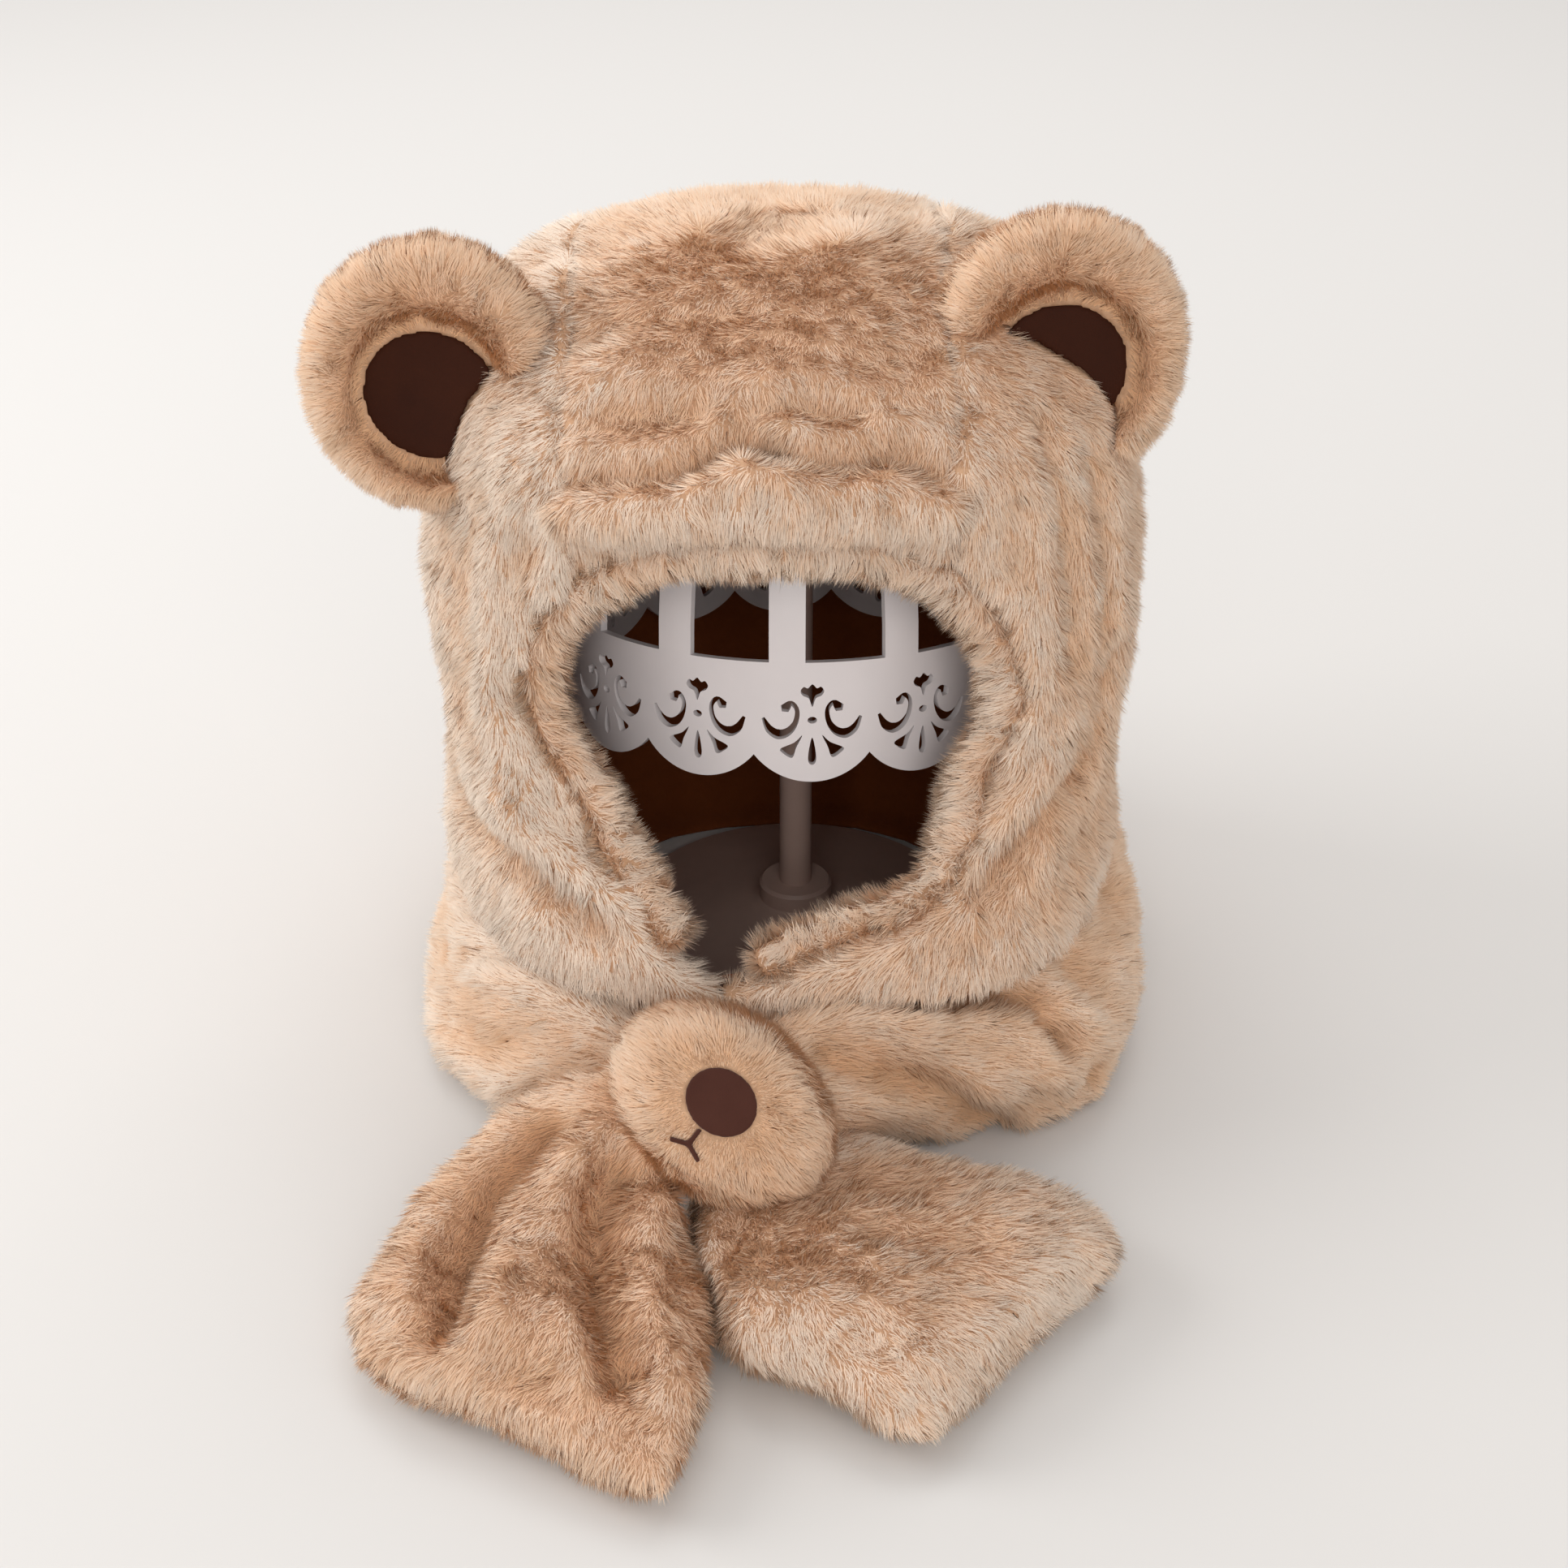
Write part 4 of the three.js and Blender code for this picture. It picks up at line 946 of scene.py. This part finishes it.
@dataclass
class Hood:
    """The hood's panels, its edge round the face and its lining."""

    pile_length: float = 5.2 * MM

    def pieces(self) -> list[PlushPiece]:
        """The plush pieces of the hood, with their folds."""
        # painted light and shade: crests painted paler and folds darker, the panels a little paler overall
        pile = Pile(length=self.pile_length, crest=0.38, piece_tone_and_light=0.05)
        brow = (
            Crease(
                ((690, 590), (760, 590), (830, 586), (875, 566), (915, 546), (950, 560)), 6 * MM, 4.5 * MM
            ),
            Crease(((950, 560), (985, 572), (1050, 572), (1100, 556), (1160, 584)), 5 * MM, 4.5 * MM),
            Crease(((700, 630), (820, 622), (930, 600), (1060, 612), (1150, 625)), -3.2 * MM, 8 * MM, 0.0),
            Crease(((930, 508), (985, 494), (1050, 512)), 2.6 * MM, 4 * MM),
            Crease(((760, 500), (850, 505), (905, 490)), 1.6 * MM, 5 * MM),
            Crease(((700, 430), (780, 395), (900, 380)), 1.2 * MM, 6 * MM),
            Crease(((690, 690), (760, 676), (860, 668), (1000, 664), (1130, 668)), 2.0 * MM, 3.5 * MM),
        )
        right = (
            Crease(((1180, 716), (1216, 738), (1246, 790), (1262, 850)), 2.8 * MM, 3.5 * MM),
            Crease(((1282, 520), (1306, 620), (1318, 710), (1318, 800)), 3.2 * MM, 4.5 * MM),
            Crease(((1340, 560), (1356, 660), (1352, 760)), 2.4 * MM, 4 * MM),
            Crease(((1334, 720), (1326, 860), (1262, 980), (1186, 1070)), -3.4 * MM, 6 * MM, 0.0),
            Crease(((1372, 800), (1352, 900), (1290, 1000), (1214, 1090)), 3.4 * MM, 5 * MM),
            Crease(((1255, 620), (1262, 700)), 1.8 * MM, 4 * MM),
        )
        left = (
            Crease(((652, 660), (622, 760), (626, 860)), 2.2 * MM, 5 * MM),
            Crease(((660, 760), (640, 860), (680, 970), (752, 1070)), 2.8 * MM, 5 * MM),
            Crease(((572, 880), (600, 960), (680, 1050), (770, 1120)), -3.4 * MM, 6 * MM, 0.0),
            Crease(((548, 930), (596, 1010), (664, 1080), (740, 1140)), 3.2 * MM, 5 * MM),
            Crease(((600, 600), (575, 720)), 1.6 * MM, 5 * MM),
        )
        band = Pile(
            length=5.4 * MM,
            lean=0.85,
            ruffle=0.22,
            density=4.5,
            comb=Comb.INTO_OPENING,
            clump=3 * MM,
        )
        sides, edge = ("side_panel_left", "side_panel_right"), "face_edge_band"
        return [
            PlushPiece("crown_panel", 0.4, pile, brow, rounds=3, joined=(*sides, edge), seed=11),
            PlushPiece(
                sides[0],
                0.4,
                # painted light: the left panel's pile is painted paler, for the window light that falls on
                # it
                replace(pile, piece_tone_and_light=0.26),
                left,
                rounds=3,
                joined=("crown_panel", edge),
                seed=12,
            ),
            PlushPiece(sides[1], 0.4, pile, right, rounds=3, joined=("crown_panel", edge), seed=13),
            PlushPiece(
                edge,
                0.5,
                band,
                voxel=2 * MM,
                rounds=3,
                joined=(*sides, "crown_panel"),
                swell=0.5 * MM,
                seed=14,
            ),
        ]

    def make_lining(self, finishes: Finishes) -> bpy.types.Object:
        """Builds the lining with a cloth's small slack."""
        lining = copy_node("hood_lining", "hood_lining_cloth")
        finer = lining.modifiers.new("finer", "SUBSURF")
        finer.subdivision_type = "SIMPLE"
        finer.levels = 1
        smooth = lining.modifiers.new("round", "SMOOTH")
        smooth.factor = 0.5
        smooth.iterations = 3
        settle(lining)
        points, _ = triangles_of(lining.data)
        slack = waves(points, 60 * MM, 5) * 0.5 * MM
        points = points + slack
        points[:, 2] = np.maximum(points[:, 2], FLOOR_GAP)
        lining.data.vertices.foreach_set("co", points.astype(np.float32).ravel())
        lining.data.update()
        lining.data.shade_smooth()
        wear(lining, finishes.lining)
        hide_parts("hood_lining")
        return lining


@dataclass
class Ears:
    """Both ears and the brown cloth in them."""

    pile_length: float = 5 * MM

    def pieces(self) -> list[PlushPiece]:
        """The plush of both ears."""
        pile = Pile(
            length=self.pile_length,
            lean=0.8,
            density=4.0,
            comb=Comb.FROM_MIDDLE,
            clump=4 * MM,
            # painted shade: the ears' pile is painted darker, for the shade seen down into the pile on
            # their front rims
            piece_tone_and_light=-0.2,
        )
        return [
            PlushPiece(name, 0.7, pile, voxel=2 * MM, rounds=3, unrest=0.5 * MM, seed=20 + number)
            for number, name in enumerate(("ear_left", "ear_right"))
        ]

    def make_patches(self, finishes: Finishes) -> None:
        """Builds the cloth patch of each ear."""
        for node in ("ear_left_patch", "ear_right_patch"):
            patch = copy_node(node, f"{node}_cloth")
            soften(patch, 1.1 * MM, 2)
            wear(patch, finishes.patch)
            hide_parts(node)


@dataclass
class Scarf:
    """Both halves of the scarf and the muzzle loop that holds them."""

    pile_length: float = 5.6 * MM

    def pieces(self) -> list[PlushPiece]:
        """The plush pieces of the scarf, with their folds."""
        pile = Pile(length=self.pile_length, comb=Comb.ALONG_TAIL)
        through = (
            Crease(((940, 1246), (1000, 1234), (1060, 1222), (1110, 1230)), 7 * MM, 4.4 * MM, 0.6),
            Crease(((1110, 1230), (1200, 1218), (1260, 1232), (1305, 1280)), 7 * MM, 4.4 * MM, 0.6),
            Crease(((1305, 1280), (1342, 1318)), 4 * MM, 4.4 * MM),
            Crease(
                ((1005, 1300), (1080, 1324), (1150, 1345), (1200, 1372), (1250, 1408)), 5.5 * MM, 5 * MM
            ),
            Crease(((1000, 1268), (1120, 1282), (1240, 1316)), -3 * MM, 8 * MM, 0.0),
            Crease(((675, 1398), (640, 1440), (600, 1490), (572, 1550), (556, 1625)), 10 * MM, 6.5 * MM),
            Crease(((762, 1446), (742, 1480), (736, 1540), (742, 1600), (768, 1690)), 8 * MM, 6 * MM),
            Crease(((716, 1440), (650, 1550), (596, 1625)), -4.5 * MM, 8 * MM, 0.0),
            Crease(((640, 1400), (556, 1500), (478, 1600)), -4 * MM, 9 * MM, 0.0),
            Crease(((812, 1500), (800, 1600), (806, 1690)), -4 * MM, 9 * MM, 0.0),
            Crease(((450, 1656), (560, 1690), (690, 1706), (770, 1740)), 2.6 * MM, 9 * MM),
            Crease(((640, 1352), (664, 1346)), 2.4 * MM, 4 * MM),
        )
        behind = (
            Crease(
                ((548, 1175), (600, 1181), (650, 1176), (700, 1186), (775, 1202)), 3.6 * MM, 3.4 * MM, 0.6
            ),
            Crease(((556, 1262), (600, 1290), (650, 1288)), 2.0 * MM, 5 * MM),
            Crease(((575, 1400), (625, 1368), (668, 1345)), 2.4 * MM, 4 * MM),
            Crease(((1066, 1508), (1076, 1524)), 3 * MM, 4.5 * MM),
            Crease(((1110, 1520), (1200, 1528)), 1.8 * MM, 6 * MM),
            Crease(((1105, 1735), (1200, 1688), (1290, 1608), (1336, 1560)), 2.6 * MM, 4 * MM),
            Crease(((960, 1600), (1100, 1600), (1130, 1660)), -2.0 * MM, 12 * MM, 0.0),
            Crease(((900, 1500), (892, 1600), (894, 1690)), 2.4 * MM, 5 * MM),
        )
        muzzle = Pile(
            length=4.4 * MM,
            lean=0.9,
            density=5.5,
            comb=Comb.FROM_MIDDLE,
            clump=3 * MM,
            piece_tone_and_light=-0.14,
            trimmed_by=("nose", "mouth_stitch"),
        )
        return [
            # painted light and shade: the right half, away from the window light, is painted darker and
            # the left half a little paler
            PlushPiece("scarf_right", 0.6, replace(pile, piece_tone_and_light=-0.15), through, seed=31),
            PlushPiece("scarf_left", 0.6, replace(pile, piece_tone_and_light=0.06), behind, seed=32),
            PlushPiece("muzzle_loop", 0.8, muzzle, voxel=2 * MM, rounds=4, unrest=0.4 * MM, seed=33),
        ]

    def make_face(self, finishes: Finishes) -> None:
        """Dresses the nose and the stitched mouth."""
        for node in ("nose", "mouth_stitch"):
            part = copy_node(node, f"{node}_felt")
            soften(part, 0.6 * MM, 2)
            wear(part, finishes.felt)
            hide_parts(node)


@dataclass(frozen=True)
class Motif:
    """The holes of one scallop, in millimetres across and up from the scallop's lowest point."""

    clover: Outline = (
        (0.0, 23.4),
        (1.0, 26.0),
        (2.7, 26.9),
        (3.4, 28.3),
        (2.5, 29.6),
        (1.3, 29.2),
        (0.0, 30.4),
    )
    dot_up: float = 19.3
    dot_wide: float = 2.8
    dot_tall: float = 2.1
    scroll: Outline = (
        (8.0, 22.9),
        (6.1, 24.6),
        (4.4, 22.4),
        (4.9, 18.6),
        (7.0, 15.8),
        (9.8, 14.9),
        (12.4, 16.4),
        (14.3, 19.9),
    )
    scroll_half: tuple[float, ...] = (1.5, 0.75, 0.65, 0.8, 1.25, 1.6, 1.25, 0.45)
    petal: Outline = ((0.0, 13.9), (0.8, 11.0), (1.2, 7.6), (0.9, 5.9), (0.0, 5.3))
    side_petal: Outline = ((2.9, 14.6), (5.2, 12.4), (9.2, 10.4), (8.3, 8.8), (5.8, 7.6), (4.6, 10.8))
    smoothness: int = 5

    def curve(self, knots: np.ndarray, closed: bool) -> np.ndarray:
        """A smooth curve through points.

        Args:
            knots: the points.
            closed: whether it comes back to its start.

        Returns:
            The curve's points.
        """
        if closed:
            around = np.concatenate((knots[-1:], knots, knots[:2]))
        else:
            around = np.concatenate((2 * knots[:1] - knots[1:2], knots, 2 * knots[-1:] - knots[-2:-1]))
        shares = np.arange(self.smoothness) / self.smoothness
        found = []
        for p0, p1, p2, p3 in zip(around, around[1:], around[2:], around[3:]):
            for t in shares:
                found.append(
                    0.5
                    * (
                        2 * p1
                        + (p2 - p0) * t
                        + (2 * p0 - 5 * p1 + 4 * p2 - p3) * t**2
                        + (3 * p1 - p0 - 3 * p2 + p3) * t**3
                    )
                )
        if not closed:
            found.append(knots[-1])
        return np.array(found)

    def stroke(self) -> np.ndarray:
        """The outline of one scroll, a line that swells and narrows round its knots."""
        line = self.curve(np.array(self.scroll), closed=False)
        place = np.linspace(0, len(self.scroll_half) - 1, len(line))
        half = np.interp(place, range(len(self.scroll_half)), self.scroll_half)
        along = np.gradient(line, axis=0)
        across = unit(np.stack((-along[:, 1], along[:, 0]), axis=1)) * half[:, None]
        start = line[0] - unit(along[:1])[0] * half[0] * 0.8
        return np.concatenate(([start], line + across, (line - across)[::-1]))

    def holes(self) -> list[np.ndarray]:
        """The outlines of every hole in one scallop."""
        turn = np.linspace(0, 2 * math.pi, 16, endpoint=False)
        dot_across = np.cos(turn) * self.dot_wide / 2
        dot_along = np.sin(turn) * self.dot_tall / 2 + self.dot_up
        dot = np.stack((dot_across, dot_along), axis=1)
        found = [dot]
        for half in (self.clover, self.petal):
            right = np.array(half)
            left = right[1:-1][::-1] * (-1, 1)
            found.append(self.curve(np.concatenate((right, left)), closed=True))
        side = self.curve(np.array(self.side_petal), closed=True)
        scroll = self.stroke()
        for outline in (side, scroll):
            found += [outline, (outline * (-1, 1))[::-1]]
        return found


@dataclass
class HatStand:
    """The plastic hat stand: a pierced band under ribs that meet in a hub, on a post and a foot."""

    radius: float = 76 * MM
    wall: float = 2.2 * MM
    plane: float = 128.5 * MM
    tilt: float = math.radians(8)
    band: float = 37 * MM
    drop: float = 8.3 * MM
    count: int = 14
    scallop_turn: float = math.radians(3.3)
    rib_turn: float = math.radians(-2.2)
    rib_width: float = 10.5 * MM
    hub: float = 24.6 * MM
    boss: float = 9 * MM
    strips: int = 12

    def make(self, finishes: Finishes) -> None:
        """Dresses the stand."""
        cap = self.make_cap()
        wear(cap, finishes.plastic)
        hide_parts("stand_cap")
        post_low, post_high = (np.array(corner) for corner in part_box("stand_post"))
        base_low, base_high = (np.array(corner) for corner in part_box("stand_base"))
        post_radius = (post_high[0] - post_low[0]) / 2
        foot = (base_high[0] - base_low[0]) / 2
        collar = 12 * MM
        rounding = 1 * MM
        post = self.lathe("stand_post_round", [(post_radius, post_low[2]), (post_radius, post_high[2])])
        rise = 10 * MM
        foot_profile = [
            (foot - rounding, base_low[2]),
            (foot, base_low[2] + rounding),
            (foot, base_low[2] + 2 * rounding),
            (foot - rounding, base_low[2] + 3 * rounding),
            (collar + 4 * rounding, rise - rounding),
            (collar + rounding, rise),
            (collar, rise + rounding),
            (collar, base_high[2] - rounding),
            (collar - rounding, base_high[2]),
            (post_radius + 0.3 * MM, base_high[2]),
        ]
        base = self.lathe("stand_base_round", foot_profile)
        # The post and the base wear the plastic's painted-shade copy.
        for part, node in ((post, "stand_post"), (base, "stand_base")):
            wear(part, finishes.shaded_plastic)
            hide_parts(node)

    @staticmethod
    def lathe(name: str, profile: Sequence[tuple[float, float]], steps: int = 72) -> bpy.types.Object:
        """A round solid from a profile of radii and heights, closed at both ends.

        Args:
            name: the object's name.
            profile: its corners from the bottom up.
            steps: how many sides it has.

        Returns:
            The solid.
        """
        build = bmesh.new()
        rings = []
        for radius, height in profile:
            turns = (2 * math.pi * step / steps for step in range(steps))
            places = [(radius * math.cos(turn), radius * math.sin(turn), height) for turn in turns]
            rings.append([build.verts.new(place) for place in places])
        for low, high in zip(rings, rings[1:]):
            for step in range(steps):
                after = (step + 1) % steps
                build.faces.new((low[step], low[after], high[after], high[step]))
        build.faces.new(rings[0][::-1])
        build.faces.new(rings[-1])
        return mesh_object(name, build)

    def bent(self, across: float, height: float, depth: float, turn: float) -> tuple[float, float, float]:
        """Where a point of the flat band lies once it is bent round the cap.

        Args:
            across: distance along the band from the scallop's middle.
            height: height over the rim's plane.
            depth: distance in from the outer face.
            turn: the scallop's turn from the front.

        Returns:
            The point, before the cap is tilted.
        """
        angle = turn + across / self.radius
        reach = self.radius - depth
        return reach * math.sin(angle), -reach * math.cos(angle), height

    def scallop_outline(self) -> np.ndarray:
        """The flat outline of one scallop of the band, from its lowest point up, in metres."""
        half = math.pi * self.radius / self.count
        round_radius = (half**2 + self.drop**2) / (2 * self.drop)
        places = np.linspace(-half, half, 25)
        edge = [(x, round_radius - math.sqrt(round_radius**2 - x**2)) for x in places]
        return np.array([*edge, (half, self.band), (-half, self.band)])

    def flat_scallop(self) -> bpy.types.Mesh:
        """One pierced scallop as a flat plate, cut into upright strips so that it bends smoothly."""
        curve = bpy.data.curves.new("scallop", "CURVE")
        curve.dimensions = "2D"
        curve.fill_mode = "BOTH"
        curve.extrude = self.wall / 2
        for outline in [self.scallop_outline()] + [hole * MM for hole in Motif().holes()]:
            spline = curve.splines.new("POLY")
            spline.points.add(len(outline) - 1)
            for knot, place in zip(spline.points, outline):
                knot.co = (*place, 0.0, 1.0)
            spline.use_cyclic_u = True
        plate = bpy.data.objects.new("scallop", curve)
        bpy.context.scene.collection.objects.link(plate)
        graph = bpy.context.evaluated_depsgraph_get()
        mesh = bpy.data.meshes.new_from_object(plate.evaluated_get(graph))
        bpy.data.objects.remove(plate)
        build = bmesh.new()
        build.from_mesh(mesh)
        bmesh.ops.remove_doubles(build, verts=build.verts, dist=0.005 * MM)
        half = math.pi * self.radius / self.count
        for strip in range(1, self.strips):
            whole = build.verts[:] + build.edges[:] + build.faces[:]
            place = (-half + 2 * half * strip / self.strips, 0, 0)
            bmesh.ops.bisect_plane(build, geom=whole, plane_co=place, plane_no=(1, 0, 0), dist=1e-6)
        ends = [face for face in build.faces if all(abs(abs(v.co.x) - half) < 1e-6 for v in face.verts)]
        bmesh.ops.delete(build, geom=ends, context="FACES")
        bmesh.ops.triangulate(build, faces=build.faces)
        build.to_mesh(mesh)
        build.free()
        return mesh

    def dome_height(self) -> float:
        """The dome's height over the rim's plane, so that the tilted cap ends where its node does."""
        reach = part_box("stand_cap")[1][2] - self.plane
        return math.sqrt(reach**2 - (self.radius * math.sin(self.tilt)) ** 2) / math.cos(self.tilt)

    def rib(self, build: bmesh.types.BMesh, turn: float, rows: int = 14, columns: int = 4) -> None:
        """Adds one rib, which rises from the rim to the hub over the dome.

        Args:
            build: the mesh that it joins.
            turn: the rib's turn from the front.
            rows: steps along it.
            columns: steps across it.
        """
        ahead = np.array((math.sin(turn), -math.cos(turn)))
        aside = np.array((math.cos(turn), math.sin(turn)))
        grids = []
        for inset in (0.0, self.wall):
            radius, height = self.radius - inset, self.dome_height() - inset
            grid = []
            for row in range(rows + 1):
                last = math.acos((self.hub - 0.6 * MM) / self.radius)
                angle = last * row / rows
                line = []
                for column in range(columns + 1):
                    side = self.rib_width * (column / columns - 0.5)
                    out = math.sqrt(radius**2 - side**2) * math.cos(angle)
                    up = height * math.sqrt(max(0.0, 1 - (out**2 + side**2) / radius**2))
                    flat = ahead * out + aside * side
                    line.append(build.verts.new((*flat, up - (0.6 * MM if row == 0 else 0.0))))
                grid.append(line)
            grids.append(grid)
        outer, inner = grids
        for row in range(rows):
            for column in range(columns):
                for grid, step in ((outer, 1), (inner, -1)):
                    corners = (
                        grid[row][column],
                        grid[row][column + 1],
                        grid[row + 1][column + 1],
                        grid[row + 1][column],
                    )
                    build.faces.new(corners[::step])
            for column, step in ((0, -1), (columns, 1)):
                corners = (
                    outer[row][column],
                    inner[row][column],
                    inner[row + 1][column],
                    outer[row + 1][column],
                )
                build.faces.new(corners[::step])

    def crown_disc(self, build: bmesh.types.BMesh, rings: int = 8, steps: int = 84) -> None:
        """Adds the hub, a round piece of the dome in which the ribs end."""
        faces = []
        for inset, step in ((0.0, 1), (self.wall, -1)):
            radius, height = self.radius - inset, self.dome_height() - inset
            levels = []
            for ring in range(1, rings + 1):
                out = self.hub * ring / rings
                up = height * math.sqrt(1 - (out / radius) ** 2)
                turns = (2 * math.pi * number / steps for number in range(steps))
                levels.append([build.verts.new((out * math.cos(t), out * math.sin(t), up)) for t in turns])
            build.faces.new(levels[0][::step])
            for low, high in zip(levels, levels[1:]):
                for number in range(steps):
                    after = (number + 1) % steps
                    build.faces.new((high[number], high[after], low[after], low[number])[::step])
            faces.append(levels[-1])
        outside, inside = faces
        for number in range(steps):
            after = (number + 1) % steps
            build.faces.new((outside[number], inside[number], inside[after], outside[after]))

    def make_cap(self) -> bpy.types.Object:
        """Builds the whole cap in its place."""
        flat = self.flat_scallop()
        points, corners = triangles_of(flat)
        build = bmesh.new()
        for number in range(self.count):
            turn = self.scallop_turn + 2 * math.pi * number / self.count
            made = [
                build.verts.new(self.bent(x, y - self.band, self.wall / 2 - z, turn)) for x, y, z in points
            ]
            for corner in corners:
                build.faces.new([made[index] for index in corner])
            self.rib(build, self.rib_turn + 2 * math.pi * number / self.count)
        self.crown_disc(build)
        bmesh.ops.remove_doubles(build, verts=build.verts, dist=0.01 * MM)
        bmesh.ops.recalc_face_normals(build, faces=build.faces)
        place = Matrix.Translation((0, 0, self.plane)) @ Matrix.Rotation(-self.tilt, 4, "X")
        bmesh.ops.transform(build, matrix=place, verts=build.verts)
        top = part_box("stand_post")[1][2]
        length = 16 * MM
        middle = Matrix.Translation((0, 0, top))
        bmesh.ops.create_cone(
            build,
            cap_ends=True,
            segments=40,
            radius1=self.boss,
            radius2=self.boss,
            depth=length,
            matrix=middle,
        )
        return mesh_object("stand_cap_pierced", build)


@dataclass
class Studio:
    """The pale floor, the soft lights and the camera."""

    floor_colour: Colour = (0.745, 0.735, 0.722)
    sky_colour: Colour = (1.0, 0.975, 0.955)
    sky_strength: float = 0.64

    def make_floor(self) -> None:
        """Lays a wide plain floor."""
        bpy.ops.mesh.primitive_plane_add(size=12, location=(0, 0, 0))
        floor = bpy.context.object
        floor.name = "floor"
        material, _, shader = new_material("floor")
        shader.inputs["Base Color"].default_value = (*self.floor_colour, 1.0)
        shader.inputs["Roughness"].default_value = 0.9
        floor.data.materials.append(material)

    def add_light(self, name: str, place: Vector, size: float, power: float, colour: Colour) -> None:
        """Adds one soft box aimed at the hood."""
        light = bpy.data.lights.new(name, "AREA")
        light.shape = "SQUARE"
        light.size = size
        light.energy = power
        light.color = colour
        lamp = bpy.data.objects.new(name, light)
        bpy.context.scene.collection.objects.link(lamp)
        lamp.location = place
        aim = Vector((0.0, -0.03, 0.12)) - place
        lamp.rotation_euler = aim.to_track_quat("-Z", "Y").to_euler()

    def make_lights(self) -> None:
        """Sets the sky and the lights."""
        world = bpy.data.worlds.new("studio")
        world.use_nodes = True
        backdrop = world.node_tree.nodes["Background"]
        backdrop.inputs["Color"].default_value = (*self.sky_colour, 1.0)
        backdrop.inputs["Strength"].default_value = self.sky_strength
        bpy.context.scene.world = world
        self.add_light("window", Vector((-1.4, 0.1, 0.85)), 1.0, 11.0, (1.0, 0.985, 0.97))
        self.add_light("ceiling", Vector((0.0, 0.9, 1.5)), 1.4, 10.5, (1.0, 0.985, 0.97))
        self.add_light("front", Vector((0.15, -1.9, 0.9)), 1.3, 12.5, (1.0, 0.97, 0.945))

    def make_camera(self) -> None:
        """Sets the camera at the photograph's place."""
        lens = bpy.data.cameras.new("camera")
        lens.lens = VIEW.focal
        lens.sensor_width = VIEW.sensor
        camera = bpy.data.objects.new("camera", lens)
        bpy.context.scene.collection.objects.link(camera)
        camera.location = VIEW.place()
        camera.rotation_euler = (math.pi / 2 - VIEW.elevation, 0.0, 0.0)
        bpy.context.scene.camera = camera
        bpy.context.scene.view_settings.view_transform = "Standard"


def surroundings(pieces: Sequence[PlushPiece]) -> BVHTree:
    """One tree of every skin and of the CAD solids that no skin stands for."""
    points: list[list[float]] = []
    corners: list[list[int]] = []
    names = {piece.node for piece in pieces}
    others = [solid for node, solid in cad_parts.items() if node not in names]
    for part in [piece.skin for piece in pieces] + others:
        found, faces = triangles_of(part.data)
        corners += (faces + len(points)).tolist()
        points += found.tolist()
    return BVHTree.FromPolygons(points, corners)


def count_triangles() -> int:
    """The triangles of every mesh that the script adds."""
    given = {solid.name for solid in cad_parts.values()}
    added = [item for item in bpy.data.objects if item.type == "MESH" and item.name not in given]
    return sum(len(loop.vertices) - 2 for item in added for loop in item.data.polygons)


def main() -> None:
    """Builds the object and its studio."""
    logging.basicConfig(level=logging.INFO, format="%(name)s: %(message)s")
    studio = Studio()
    studio.make_camera()
    studio.make_floor()
    studio.make_lights()
    finishes = Finishes()
    hood, ears, scarf = Hood(), Ears(), Scarf()
    pieces = hood.pieces() + ears.pieces() + scarf.pieces()
    for piece in pieces:
        skin = piece.make_skin(finishes)
        LOG.info("%s has %d faces", skin.name, len(skin.data.polygons))
    around = surroundings(pieces)
    for piece in pieces:
        pile = piece.make_pile(finishes, around)
        LOG.info("%s has %d triangles", pile.name, len(pile.data.polygons))
    hood.make_lining(finishes)
    ears.make_patches(finishes)
    scarf.make_face(finishes)
    HatStand().make(finishes)
    LOG.info("the scene has %d triangles", count_triangles())


if __name__ == "__main__":
    main()
